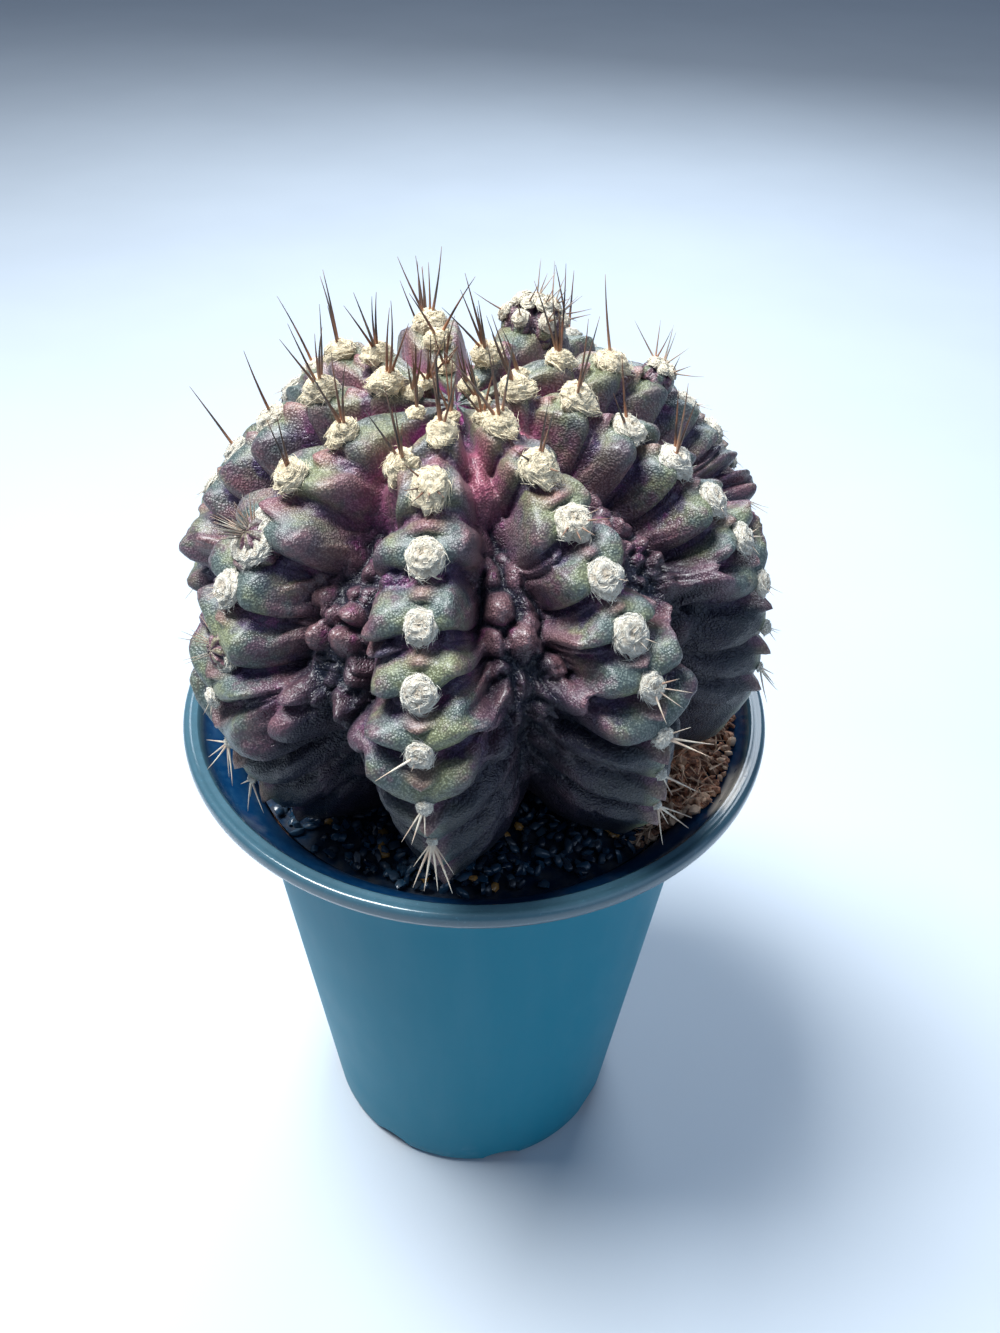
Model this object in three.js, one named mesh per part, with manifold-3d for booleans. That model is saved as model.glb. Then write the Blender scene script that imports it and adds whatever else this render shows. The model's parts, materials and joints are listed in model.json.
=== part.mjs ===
/**
 * A potted ribbed cactus: a globular body with nine deep ribs, set in a small
 * tapered nursery pot that is filled with potting mix and topped with dark grit.
 *
 * Millimetres, +Z up. The origin is the middle of the pot's underside, on the surface that the
 * pot stands on. The viewer's side is -Y, so azimuths are counted from -Y towards +X.
 *
 * The four real pieces are four meshes: the pot, the potting mix, the grit top dressing and the
 * cactus. Areoles, spines and offsets grow out of the cactus, so they are one solid with it.
 */
import * as THREE from 'three';
import { mergeVertices } from 'three/addons/utils/BufferGeometryUtils.js';
import Module from 'manifold-3d';

const wasm = await Module();
wasm.setup();

const { Manifold, Mesh: ManifoldMesh } = wasm;
const { degToRad, lerp, smoothstep } = THREE.MathUtils;

// ---------------------------------------------------------------- driving dimensions (mm)

/** Thin-walled thermoformed pot, 80 mm across its rolled lip. */
const POT = {
  height: 85.5,
  baseRadius: 24.5,
  wallTopRadius: 33.1, // where the straight wall would meet the rim plane
  lipRadius: 40,
  lipHeight: 2.3,
  lipWidth: 2.4,
  flare: 4.8, // how far the wall has swung out just under the lip
  flareLength: 2.8,
  wall: 1.2,
  floor: 1.2,
  baseChamfer: 1.2,
  segments: 40,
};

/** Drainage: arched slots through the bottom corner, and round holes in the floor. */
const DRAIN = {
  slots: 8,
  firstSlotAzimuth: 12,
  slotWidth: 7,
  slotHeight: 2.6,
  slotDepth: 3.2,
  holes: 4,
  holeRadius: 2.5,
  holeRing: 13,
};

/** What fills the pot. The mix is heaped a little against the wall on one side. */
const FILL = {
  gap: 0.3, // clearance between one piece and the next
  mixTop: 75.7,
  gritTop: 78,
  bankTop: 81,
  bankFrom: 62,
  bankTo: 118,
  bankInner: 27,
};

/** Grit pebbles and mix crumbs, laid out on a golden-angle spiral. */
const PEBBLES = { count: 95, size: 1.95, innerRadius: 17, outerRadius: 32.3 };
const CRUMBS = { count: 22, size: 1.25, innerRadius: 28.5, outerRadius: 33 };

/** The cactus body: a spheroid above its widest level, a fuller superellipse below it. */
const BODY = {
  centre: [0.2, -3.2, 104],
  tiltX: 8.1, // the crown leans towards the viewer
  tiltY: -5.4, // and a little to the viewer's left
  radius: 35.4,
  top: 30.4,
  bottom: 28.6,
  bottomFullness: 2.4,
  furrowDepth: 8.5,
  rollHeight: 2.5,
  crownDip: 1.6,
};

/**
 * One entry a rib: azimuth of its crest and latitude of its top areole (degrees), pace of its
 * areoles, and how many degrees its crest swings round on the way down.
 */
const RIBS = [
  { azimuth: -8, first: 77, pace: 1, lean: 0 },
  { azimuth: 34, first: 76, pace: 0.93, lean: 0 },
  { azimuth: 74, first: 79, pace: 0.88, lean: -10 },
  { azimuth: 111, first: 71, pace: 0.95, lean: 0 },
  { azimuth: 149, first: 79, pace: 0.97, lean: 0 },
  { azimuth: 192, first: 75, pace: 0.96, lean: 0 },
  { azimuth: 229, first: 72, pace: 1, lean: 0 },
  { azimuth: 259, first: 78, pace: 1.1, lean: 0 },
  { azimuth: 304, first: 70, pace: 0.97, lean: 14 },
];
const ROW_STEP = 10.4; // degrees of latitude from the first areole to the second
const ROW_STRETCH = 0.17; // the steps widen a little down the rib
const ROWS = 9;
const LOWEST_AREOLE = -14; // degrees; below this the rib is bare
const COLUMNS_PER_RIB = 4;
const ROW_FRACTIONS = [0, 0.3, 0.5, 0.7]; // roll, cleft, narrow roll, cleft
const CROWN_FRACTIONS = [0.35, 0.7]; // extra rings between the pole and the first areoles
const UNDERSIDE_RINGS = 5;

/** Woolly areole pads: large and domed at the crown, small near the soil. */
const AREOLE = { crownRadius: 2.4, baseRadius: 1.15, rise: 0.3, flatness: 0.82, sides: 6, rings: 3 };

/** Spines are three-sided cones at their real thickness, with their roots deep in the wool. */
const SPINE = { radius: 0.27, rooted: 1.4 };
const CROWN_SPINES = { from: 90, to: 42, count: 3, length: 8, spread: 30 };
const BASE_SPINES = { from: 12, to: -90, count: 3, length: 5.6, spread: 58 };

/** Offsets that sprout from single areoles: rib, row, radius and number of fine spines. */
const PUPS = [
  { rib: 8, row: 2, radius: 3.2, spines: 9 },
  { rib: 8, row: 4, radius: 2.1, spines: 5 },
  { rib: 3, row: 2, radius: 2.4, spines: 6 },
  { rib: 4, row: 2, radius: 4.2, spines: 9 },
];
const PUP_SPINE_LENGTH = 3.6;

/** The neck below the body, which stands in a plain hole in the mix. */
const ROOT = { topRadius: 11, tipRadius: 5, length: 15, sides: 16 };

// ---------------------------------------------------------------- small helpers

/** Seeded random numbers in 0..1, so that every run gives the same plant. */
function randomStream(seed) {
  let state = seed >>> 0;
  return () => {
    state = (state + 0x6d2b79f5) >>> 0;
    let t = Math.imul(state ^ (state >>> 15), 1 | state);
    t = (t + Math.imul(t ^ (t >>> 7), 61 | t)) ^ t;
    return ((t ^ (t >>> 14)) >>> 0) / 4294967296;
  };
}

/** A three.js geometry with only merged positions left, as a solid for booleans. */
function toSolid(geometry) {
  const bare = geometry.clone();
  bare.deleteAttribute('normal');
  bare.deleteAttribute('uv');
  const merged = mergeVertices(bare, 1e-5);
  return new Manifold(new ManifoldMesh({
    numProp: 3,
    vertProperties: new Float32Array(merged.attributes.position.array),
    triVerts: new Uint32Array(merged.index.array),
  }));
}

/** A solid back as a three.js geometry. */
function toGeometry(solid) {
  const mesh = solid.getMesh();
  const geometry = new THREE.BufferGeometry();
  geometry.setAttribute('position', new THREE.BufferAttribute(mesh.vertProperties, 3));
  geometry.setIndex(new THREE.BufferAttribute(mesh.triVerts, 1));
  geometry.computeVertexNormals();
  return geometry;
}

/** A closed solid of revolution about +Z from [radius, height] pairs. */
function turned(profile, segments) {
  const points = profile.map(([r, z]) => new THREE.Vector2(r, z));
  return toSolid(new THREE.LatheGeometry(points, segments).rotateX(Math.PI / 2));
}

/** The matrix that carries +Z onto a direction, at a point. */
function aimed(point, direction, roll = 0) {
  const turn = new THREE.Quaternion().setFromUnitVectors(
    new THREE.Vector3(0, 0, 1), direction.clone().normalize());
  const spin = new THREE.Quaternion().setFromAxisAngle(new THREE.Vector3(0, 0, 1), roll);
  return new THREE.Matrix4().compose(point, turn.multiply(spin), new THREE.Vector3(1, 1, 1));
}

/** Horizontal unit vector of an azimuth in degrees. */
function heading(azimuth) {
  const a = degToRad(azimuth);
  return new THREE.Vector3(Math.sin(a), -Math.cos(a), 0);
}

/** A tall wedge between two azimuths, from the axis to well past the pot's wall. */
function wedge(fromAzimuth, toAzimuth, bottom, top) {
  const reach = 2 * POT.lipRadius;
  const from = heading(fromAzimuth).multiplyScalar(reach);
  const middle = heading((fromAzimuth + toAzimuth) / 2).multiplyScalar(reach);
  const to = heading(toAzimuth).multiplyScalar(reach);
  const outline = new THREE.Shape([
    new THREE.Vector2(0, 0),
    new THREE.Vector2(from.x, from.y),
    new THREE.Vector2(middle.x, middle.y),
    new THREE.Vector2(to.x, to.y),
  ]);
  const prism = new THREE.ExtrudeGeometry(outline, { depth: top - bottom, bevelEnabled: false });
  return toSolid(prism.translate(0, 0, bottom));
}

// ---------------------------------------------------------------- the pot

/** Outer radius of the pot's wall at a height, with the flare that leads out to the lip. */
function wallRadius(z) {
  const straight = lerp(POT.baseRadius, POT.wallTopRadius, z / POT.height);
  const lipUnderside = POT.height - POT.lipHeight;
  return straight + POT.flare * Math.exp((z - lipUnderside) / POT.flareLength);
}

/** Inner radius of the pot's wall, less an optional gap. */
function boreRadius(z, gap = 0) {
  return wallRadius(z) - POT.wall - gap;
}

function potSolid() {
  const lipBottom = POT.height - POT.lipHeight;
  const wallHeights = [POT.baseChamfer, 30, 60, 72, 76.5, 79.5, 81.7, lipBottom];
  const outer = wallHeights.map((z) => [wallRadius(z), z]);
  const lip = [
    [POT.lipRadius - 0.5, lipBottom],
    [POT.lipRadius, lipBottom + 0.5],
    [POT.lipRadius, POT.height - 0.8],
    [POT.lipRadius - 0.8, POT.height],
    [POT.lipRadius - POT.lipWidth + 0.8, POT.height],
    [POT.lipRadius - POT.lipWidth, POT.height - 0.8],
  ];
  const boreHeights = [82.5, 80, 76.5, 72, 60, 30, POT.floor];
  const bore = boreHeights.map((z) => [boreRadius(z), z]);
  const shell = turned([
    [0, 0],
    [POT.baseRadius - POT.baseChamfer, 0],
    ...outer, ...lip, ...bore,
    [0, POT.floor],
  ], POT.segments);

  const cutters = [];
  for (let i = 0; i < DRAIN.slots; i += 1) {
    const azimuth = DRAIN.firstSlotAzimuth + (360 / DRAIN.slots) * i;
    const half = DRAIN.slotWidth / 2;
    const arch = new THREE.Shape();
    arch.moveTo(-half, -1);
    arch.lineTo(half, -1);
    arch.lineTo(half, DRAIN.slotHeight / 2);
    arch.quadraticCurveTo(half, DRAIN.slotHeight, 0, DRAIN.slotHeight);
    arch.quadraticCurveTo(-half, DRAIN.slotHeight, -half, DRAIN.slotHeight / 2);
    const tunnel = new THREE.ExtrudeGeometry(arch, {
      depth: 2 * DRAIN.slotDepth, bevelEnabled: false, curveSegments: 4,
    });
    tunnel.rotateX(Math.PI / 2).translate(0, -(POT.baseRadius - DRAIN.slotDepth), 0);
    tunnel.rotateZ(degToRad(azimuth));
    cutters.push(toSolid(tunnel));
  }
  for (let i = 0; i < DRAIN.holes; i += 1) {
    const at = heading(45 + (360 / DRAIN.holes) * i).multiplyScalar(DRAIN.holeRing);
    const drill = new THREE.CylinderGeometry(DRAIN.holeRadius, DRAIN.holeRadius, 6, 14);
    cutters.push(toSolid(drill.rotateX(Math.PI / 2).translate(at.x, at.y, 0)));
  }
  return shell.subtract(Manifold.union(cutters));
}

// ---------------------------------------------------------------- the cactus body

/** Smooth body of revolution: radius and height of a latitude, in the plant's own frame. */
function bodyProfile(latitude, grow = 0) {
  const t = Math.sin(degToRad(latitude));
  const radius = BODY.radius + grow;
  if (t >= 0) {
    const dip = BODY.crownDip * smoothstep(latitude, 72, 90);
    return { r: radius * Math.cos(degToRad(latitude)), z: (BODY.top + grow) * t - dip };
  }
  const n = BODY.bottomFullness;
  return { r: radius * (1 - (-t) ** n) ** (1 / n), z: (BODY.bottom + grow) * t };
}

/** Outward direction of the smooth body at a latitude, as [across, up]. */
function profileNormal(latitude) {
  const step = 0.5;
  const above = bodyProfile(Math.min(latitude + step, 89.9));
  const below = bodyProfile(Math.max(latitude - step, -89.9));
  const across = above.z - below.z;
  const up = below.r - above.r;
  const length = Math.hypot(across, up);
  return [across / length, up / length];
}

/** Rib crest values, blended from one rib to the next round the plant. */
function ribAt(u) {
  const low = Math.floor(u) % RIBS.length;
  const high = (low + 1) % RIBS.length;
  const part = u - Math.floor(u);
  const turn = high < low ? 360 : 0;
  return {
    azimuth: lerp(RIBS[low].azimuth, RIBS[high].azimuth + turn, part),
    first: lerp(RIBS[low].first, RIBS[high].first, part),
    pace: lerp(RIBS[low].pace, RIBS[high].pace, part),
    lean: lerp(RIBS[low].lean, RIBS[high].lean, part),
    side: 2 * Math.min(part, 1 - part), // 0 on the crest, 1 in the furrow
  };
}

/** Azimuth of a rib's crest at a row, with its swing. */
function crestAzimuth({ azimuth, lean }, row) {
  return azimuth + lean * (Math.min(row, ROWS) / (ROWS - 1) - 0.5);
}

/** Latitude of a row of areoles, counted from a rib's first one. */
function rowLatitude({ first, pace }, row) {
  return first - pace * (ROW_STEP * row + ROW_STRETCH * row ** 2);
}

/** Height of the cross rolls: a broad one at each areole and a narrow one between two. */
function rollHeight(row) {
  const toWhole = Math.abs(row - Math.round(row));
  const toHalf = 0.5 - toWhole;
  const broad = Math.exp(-((toWhole / 0.2) ** 2));
  const narrow = 0.42 * Math.exp(-((toHalf / 0.12) ** 2));
  return broad + narrow - 0.5;
}

/** A point on the ribbed skin; u counts ribs, row counts areoles down from the first. */
function skinPoint(u, row, latitude, bump = 0, grow = 0) {
  const rib = ribAt(u);
  const { r, z } = bodyProfile(latitude);
  const [across, up] = profileNormal(latitude);
  const size = Math.min(1, r / (0.62 * BODY.radius));
  const furrow = 0.5 * rib.side ** 2 + 0.5 * rib.side ** 5;
  const rollsHere = smoothstep(row, -0.8, 0.2) * (1 - smoothstep(row, ROWS - 0.6, ROWS + 1));
  const rollShare = 0.55 + 0.45 * Math.sin(Math.PI * Math.min(1, rib.side * 1.1));
  const relief = BODY.rollHeight * rollHeight(row) * rollsHere * rollShare * size;
  const lift = relief - BODY.furrowDepth * size * furrow + bump * size + grow;
  const out = heading(crestAzimuth(rib, row));
  return new THREE.Vector3(
    out.x * (r + across * lift), out.y * (r + across * lift), z + up * lift);
}

/** How far the cross rolls climb between crest and furrow: level above, chevrons below. */
function chevron(row, side) {
  return 0.75 * smoothstep(row, 3.5, 6) * side;
}

/** Rows of the skin, from the pole down: each gives a latitude and a row for a rib value. */
function skinRows() {
  const climbed = (rib, row) => rowLatitude(rib, row - chevron(row, rib.side));
  const rows = CROWN_FRACTIONS.map((part) => (rib) => (
    { latitude: lerp(90, rib.first, part), row: part - 1 }));
  for (let k = 0; k < ROWS; k += 1) {
    ROW_FRACTIONS.forEach((part) => {
      rows.push((rib) => ({ latitude: climbed(rib, k + part), row: k + part }));
    });
  }
  for (let i = 0; i < UNDERSIDE_RINGS; i += 1) {
    const part = i / UNDERSIDE_RINGS;
    rows.push((rib) => ({ latitude: lerp(climbed(rib, ROWS), -88, part), row: ROWS + 2 * part }));
  }
  return rows;
}

/** The ribbed skin as a closed solid; it can be grown a little to cut a clearance. */
function bodySolid(grow = 0) {
  const rows = skinRows();
  const columns = RIBS.length * COLUMNS_PER_RIB;
  const ball = new THREE.SphereGeometry(1, columns, rows.length + 1);
  const place = ball.attributes.position;
  const random = randomStream(11);
  const warts = Array.from({ length: (rows.length + 2) * columns }, () => random() - 0.5);
  for (let i = 0; i < place.count; i += 1) {
    const ring = Math.floor(i / (columns + 1));
    const column = (i % (columns + 1)) % columns;
    let point;
    if (ring === 0) {
      point = new THREE.Vector3(0, 0, bodyProfile(90).z + grow);
    } else if (ring === rows.length + 1) {
      point = new THREE.Vector3(0, 0, bodyProfile(-90).z - grow);
    } else {
      const u = column / COLUMNS_PER_RIB;
      const rib = ribAt(u);
      const { latitude, row } = rows[ring - 1](rib);
      const wart = 2.2 * warts[ring * columns + column] * smoothstep(rib.side, 0.4, 1);
      point = skinPoint(u, row, latitude, wart, grow);
    }
    place.setXYZ(i, point.x, point.y, point.z);
  }
  return toSolid(ball);
}

/** Where an areole sits on the skin, and which way it faces, in the plant's own frame. */
function areoleSeat(rib, row) {
  const latitude = rowLatitude(RIBS[rib], row);
  const [across, up] = profileNormal(latitude);
  const facing = heading(crestAzimuth(RIBS[rib], row)).multiplyScalar(across);
  facing.z = up;
  return { point: skinPoint(rib, row, latitude), facing, latitude };
}

/** A spine from a point along a direction, rooted below its start. */
function spineSolid(point, direction, length, radius = SPINE.radius) {
  const cone = new THREE.ConeGeometry(radius, length + SPINE.rooted, 3);
  cone.translate(0, (length + SPINE.rooted) / 2 - SPINE.rooted, 0).rotateX(Math.PI / 2);
  return toSolid(cone.applyMatrix4(aimed(point, direction)));
}

/** Directions that fan out round an axis, one after another. */
function fan(facing, uphill, spread, index, count, random) {
  const angle = (index / count) * 2 * Math.PI + 0.9 * random();
  const side = new THREE.Vector3().crossVectors(facing, uphill).normalize();
  const lean = Math.tan(degToRad(spread * (0.65 + 0.5 * random())));
  return facing.clone()
    .addScaledVector(side, lean * Math.cos(angle))
    .addScaledVector(uphill, lean * Math.sin(angle))
    .normalize();
}

function areoleSolids() {
  const random = randomStream(23);
  const solids = [];
  RIBS.forEach((_, rib) => {
    for (let row = 0; row < ROWS; row += 1) {
      const { point, facing, latitude } = areoleSeat(rib, row);
      if (latitude < LOWEST_AREOLE) continue;
      const uphill = new THREE.Vector3(0, 0, 1).addScaledVector(facing, -facing.z).normalize();
      const age = row / (ROWS - 1);
      const radius = lerp(AREOLE.crownRadius, AREOLE.baseRadius, age ** 1.5);
      const pad = new THREE.SphereGeometry(radius, AREOLE.sides, AREOLE.rings);
      pad.rotateX(Math.PI / 2).scale(1, 1, AREOLE.flatness);
      const seat = point.clone().addScaledVector(facing, AREOLE.rise * radius);
      solids.push(toSolid(pad.applyMatrix4(aimed(seat, facing, random() * Math.PI))));

      const kind = [CROWN_SPINES, BASE_SPINES].find(({ from, to }) => latitude < from && latitude > to);
      if (!kind) continue;
      const isCrown = kind === CROWN_SPINES;
      const aim = facing.clone().addScaledVector(uphill, isCrown ? 0.35 : -0.45).normalize();
      const top = point.clone().addScaledVector(facing, 0.7 * radius);
      for (let i = 0; i < kind.count; i += 1) {
        const direction = fan(aim, uphill, kind.spread, i, kind.count, random);
        if (!isCrown) direction.z = Math.max(direction.z, -0.55);
        const length = kind.length * (0.8 + 0.35 * random());
        solids.push(spineSolid(top, direction.normalize(), length));
      }
    }
  });
  return solids;
}

/** An offset: a small tubercled ball with fine spines, half sunk into its areole. */
function pupSolids({ rib, row, radius, spines }, seed) {
  const random = randomStream(seed);
  const { point, facing } = areoleSeat(rib, row);
  const centre = point.clone().addScaledVector(facing, 0.75 * radius + 0.6);
  const ball = new THREE.IcosahedronGeometry(radius, 1);
  const merged = mergeVertices(ball.deleteAttribute('normal').deleteAttribute('uv'), 1e-4);
  const place = merged.attributes.position;
  for (let i = 0; i < place.count; i += 1) {
    const v = new THREE.Vector3().fromBufferAttribute(place, i).multiplyScalar(0.9 + 0.25 * random());
    place.setXYZ(i, v.x, v.y, v.z);
  }
  const solids = [toSolid(merged.applyMatrix4(aimed(centre, facing)))];
  const uphill = new THREE.Vector3(0, 0, 1).addScaledVector(facing, -facing.z).normalize();
  for (let i = 0; i < spines; i += 1) {
    const direction = fan(facing, uphill, 50, i, spines, random);
    const start = centre.clone().addScaledVector(direction, 0.8 * radius);
    solids.push(spineSolid(start, direction, PUP_SPINE_LENGTH * (0.8 + 0.4 * random()), 0.2));
  }
  return solids;
}

/** The tapered neck below the body, wider by a gap where it serves as the hole's cutter. */
function rootSolid(gap = 0) {
  const top = -BODY.bottom + 4;
  const neck = new THREE.CylinderGeometry(
    ROOT.topRadius + gap, ROOT.tipRadius + gap, ROOT.length + gap, ROOT.sides);
  neck.rotateX(Math.PI / 2).translate(0, 0, top - (ROOT.length + gap) / 2);
  return toSolid(neck);
}

function cactusSolid() {
  const parts = [bodySolid(), rootSolid(), ...areoleSolids()];
  PUPS.forEach((pup, i) => parts.push(...pupSolids(pup, 31 + i)));
  return Manifold.union(parts);
}

// ---------------------------------------------------------------- the pot's filling

/** The plant's place and lean, which the clearance in the filling shares. */
const plantPose = new THREE.Matrix4().compose(
  new THREE.Vector3(...BODY.centre),
  new THREE.Quaternion().setFromEuler(
    new THREE.Euler(degToRad(BODY.tiltX), degToRad(BODY.tiltY), 0, 'XYZ')),
  new THREE.Vector3(1, 1, 1));

/** The space that the plant's underside and neck take out of the filling. */
function plantClearance() {
  const both = bodySolid(2 * FILL.gap).add(rootSolid(2 * FILL.gap));
  return toSolid(toGeometry(both).applyMatrix4(plantPose));
}

/** A ring or plug that fills the pot's bore between two heights, clear of its wall. */
function boreFilling(bottom, top, heights) {
  const side = [bottom, ...heights, top].map((z) => [boreRadius(z, FILL.gap), z]);
  return turned([[0, bottom], ...side, [0, top]], POT.segments);
}

/** Rough grains on a golden-angle spiral between two radii, on a surface of given height. */
function grains({ count, size, innerRadius, outerRadius }, surface, seed, keep) {
  const random = randomStream(seed);
  const goldenAngle = 137.508;
  const solids = [];
  for (let i = 0; i < count; i += 1) {
    const share = (i + 0.5) / count;
    const radius = Math.sqrt(lerp(innerRadius ** 2, outerRadius ** 2, share));
    const azimuth = (i * goldenAngle) % 360;
    const scale = [0.8 + 0.75 * random(), 0.75 + 0.3 * random(), 0.6 + 0.3 * random()];
    const turn = new THREE.Euler(0.5 * random(), 0.5 * random(), 2 * Math.PI * random());
    if (!keep(azimuth)) continue;
    const at = heading(azimuth).multiplyScalar(radius);
    const grain = new THREE.IcosahedronGeometry(size, 0);
    grain.scale(...scale).applyMatrix4(new THREE.Matrix4().makeRotationFromEuler(turn));
    grain.translate(at.x, at.y, surface(radius) + 0.25 * size);
    solids.push(toSolid(grain));
  }
  return solids;
}

const inBank = (azimuth) => azimuth > FILL.bankFrom && azimuth < FILL.bankTo;

/** Height of the heaped mix against the wall at a radius. */
function bankHeight(radius) {
  const part = (radius - FILL.bankInner) / (boreRadius(FILL.bankTop) - FILL.bankInner);
  return lerp(FILL.gritTop, FILL.bankTop, Math.min(1, Math.max(0, part)));
}

function mixSolid() {
  const bed = boreFilling(POT.floor + FILL.gap, FILL.mixTop, [30, 60, 72]);
  const rim = boreRadius(FILL.bankTop, FILL.gap);
  const heap = turned([
    [0, FILL.mixTop - 3],
    [boreRadius(FILL.mixTop - 3, FILL.gap), FILL.mixTop - 3],
    [boreRadius(77, FILL.gap), 77],
    [rim, FILL.bankTop],
    [FILL.bankInner, FILL.gritTop],
    [0, FILL.gritTop],
  ], POT.segments);
  const crumbs = grains(CRUMBS, bankHeight, 47, inBank);
  const bank = heap.add(Manifold.union(crumbs))
    .intersect(boreFilling(FILL.mixTop - 3, FILL.bankTop + 2, [77, 79, FILL.bankTop]))
    .intersect(wedge(FILL.bankFrom, FILL.bankTo, 0, POT.height));
  return bed.add(bank).subtract(plantClearance());
}

function gritSolid() {
  const bottom = FILL.mixTop + FILL.gap;
  const bed = boreFilling(bottom, FILL.gritTop, []);
  const pebbles = grains(PEBBLES, () => FILL.gritTop, 59, (azimuth) => !inBank(azimuth));
  const margin = 1;
  return bed.add(Manifold.union(pebbles))
    .intersect(boreFilling(bottom, FILL.gritTop + 3, [FILL.gritTop, 79.5]))
    .subtract(wedge(FILL.bankFrom - margin, FILL.bankTo + margin, 0, POT.height))
    .subtract(plantClearance());
}

// ---------------------------------------------------------------- the finished object

/** A named mesh with its own material. */
function piece(name, solid, color, roughness) {
  const material = new THREE.MeshStandardMaterial({ color, roughness, metalness: 0 });
  const mesh = new THREE.Mesh(toGeometry(solid), material);
  mesh.name = name;
  return mesh;
}

const pottedCactus = new THREE.Group();
pottedCactus.add(
  piece('pot', potSolid(), 0x35667d, 0.45),
  piece('potting_mix', mixSolid(), 0x3a2a20, 0.95),
  piece('grit', gritSolid(), 0x16202c, 0.35),
);

const plant = new THREE.Group();
plant.applyMatrix4(plantPose);
plant.add(piece('cactus', cactusSolid(), 0x5b4a44, 0.7));
pottedCactus.add(plant);

export default pottedCactus;
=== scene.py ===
"""A potted ribbed cactus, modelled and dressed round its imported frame.

Metres, +Z up. The origin is the middle of the pot's underside and the viewer's side is -Y.
Azimuths are degrees from -Y towards +X, latitudes are degrees on the plant's own tilted body,
and a row counts areoles down a rib from its first one.

The plant's skin, wool, spines and offsets are separate meshes, which together stand for the
one solid of the frame, so that each can have its finish.
"""

import json
import logging
import math
from collections.abc import Iterator, Sequence
from contextlib import contextmanager
from dataclasses import dataclass, field
from enum import Enum

import bpy
import numpy as np
from mathutils import Matrix, Vector, noise

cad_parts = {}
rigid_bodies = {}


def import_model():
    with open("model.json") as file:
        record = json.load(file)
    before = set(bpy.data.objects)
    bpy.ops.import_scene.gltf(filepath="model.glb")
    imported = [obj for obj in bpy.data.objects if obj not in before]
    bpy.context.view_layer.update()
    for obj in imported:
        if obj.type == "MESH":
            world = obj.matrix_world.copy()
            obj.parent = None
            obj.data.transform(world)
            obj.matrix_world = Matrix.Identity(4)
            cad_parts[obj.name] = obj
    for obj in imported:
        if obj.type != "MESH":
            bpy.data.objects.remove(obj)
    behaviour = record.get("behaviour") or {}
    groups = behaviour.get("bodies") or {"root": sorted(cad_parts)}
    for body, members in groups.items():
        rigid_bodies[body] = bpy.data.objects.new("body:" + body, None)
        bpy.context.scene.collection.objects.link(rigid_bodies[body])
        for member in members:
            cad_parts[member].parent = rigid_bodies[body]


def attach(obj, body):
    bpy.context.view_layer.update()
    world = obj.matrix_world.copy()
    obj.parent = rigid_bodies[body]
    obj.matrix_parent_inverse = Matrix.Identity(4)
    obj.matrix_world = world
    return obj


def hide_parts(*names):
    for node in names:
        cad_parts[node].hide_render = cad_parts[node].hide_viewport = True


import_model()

MM = 0.001
LOG = logging.getLogger("potted_cactus")

Array = np.ndarray
Number = float | np.ndarray
Piece = bpy.types.Object
Socket = bpy.types.NodeSocket
Colour = tuple[int, int, int]
Point = tuple[float, float, float]
Random = np.random.Generator
Bearer = tuple[Matrix, float]  # local frame and radius of what bears wool or a spine


# ---- numbers and noise


def smoothstep(value: Array, low: Number, high: Number) -> Array:
    """Runs smoothly from 0 where value is low to 1 where it is high."""
    share = np.clip((np.asarray(value, float) - low) / (high - low), 0, 1)
    return share * share * (3 - 2 * share)


def window(value: Array, low: Number, rise: Number, fall: Number, high: Number) -> Array:
    """Runs smoothly from 0 at low up to 1 at rise, and from 1 at fall down to 0 at high."""
    return smoothstep(value, low, rise) * (1 - smoothstep(value, fall, high))


def bell(value: Array, half_width: Number) -> Array:
    """A bell curve that is 1 at 0 and has fallen to 1/e at the half width."""
    return np.exp(-((value / half_width) ** 2))


def from_row(row: Array, middle: float) -> Array:
    """How far rows are from the nearest place that lies middle past a whole row."""
    return (row - middle + 0.5) % 1 - 0.5


def heading(azimuth: Array) -> Array:
    """Horizontal unit vectors of azimuths in degrees, as rows of x and y."""
    angle = np.radians(azimuth)
    return np.stack([np.sin(angle), -np.cos(angle)], axis=-1)


def perlin(points: Array, size: float, seed: int = 0) -> Array:
    """Smooth noise from about -1 to 1, with humps as wide as size, shifted by its seed."""
    shift = Vector((7.3 * seed, 3.1 * seed, 5.7 * seed))
    return np.array([noise.noise(Vector(p) + shift) for p in points / size])


def knobs(points: Array, spacing: float, seed: int, cleft: float) -> Array:
    """Round knobs that stand side by side.

    Args:
        points: Rows of x, y and z.
        spacing: Mean distance from knob to knob.
        seed: Shifts the pattern.
        cleft: How wide the clefts between the knobs are, as a share of the spacing.

    Returns:
        Height of each point, from 0 in a cleft to 1 on a knob.
    """
    shift = Vector((3.7 * seed, 9.1 * seed, 1.3 * seed))
    found = [noise.voronoi(Vector(p) + shift)[0][:2] for p in points / spacing]
    near, far = np.array(found).T
    return np.clip(1 - (near / 0.7) ** 2, 0, 1) * smoothstep(far - near, 0, cleft)


def colour(red: float, green: float, blue: float) -> tuple[float, float, float, float]:
    """A screen colour of 0 to 255 a channel as the linear colour that shaders take."""
    def linear(value: float) -> float:
        """One channel, from 0 to 1."""
        share = value / 255
        return share / 12.92 if share <= 0.04045 else ((share + 0.055) / 1.055) ** 2.4
    return linear(red), linear(green), linear(blue), 1.0


# ---- mesh work


@contextmanager
def editing(piece: Piece) -> Iterator[None]:
    """Edit mode on one piece, with everything in it selected at the start."""
    bpy.ops.object.select_all(action="DESELECT")
    piece.select_set(True)
    bpy.context.view_layer.objects.active = piece
    bpy.ops.object.mode_set(mode="EDIT")
    bpy.ops.mesh.select_all(action="SELECT")
    yield
    bpy.ops.object.mode_set(mode="OBJECT")


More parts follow.
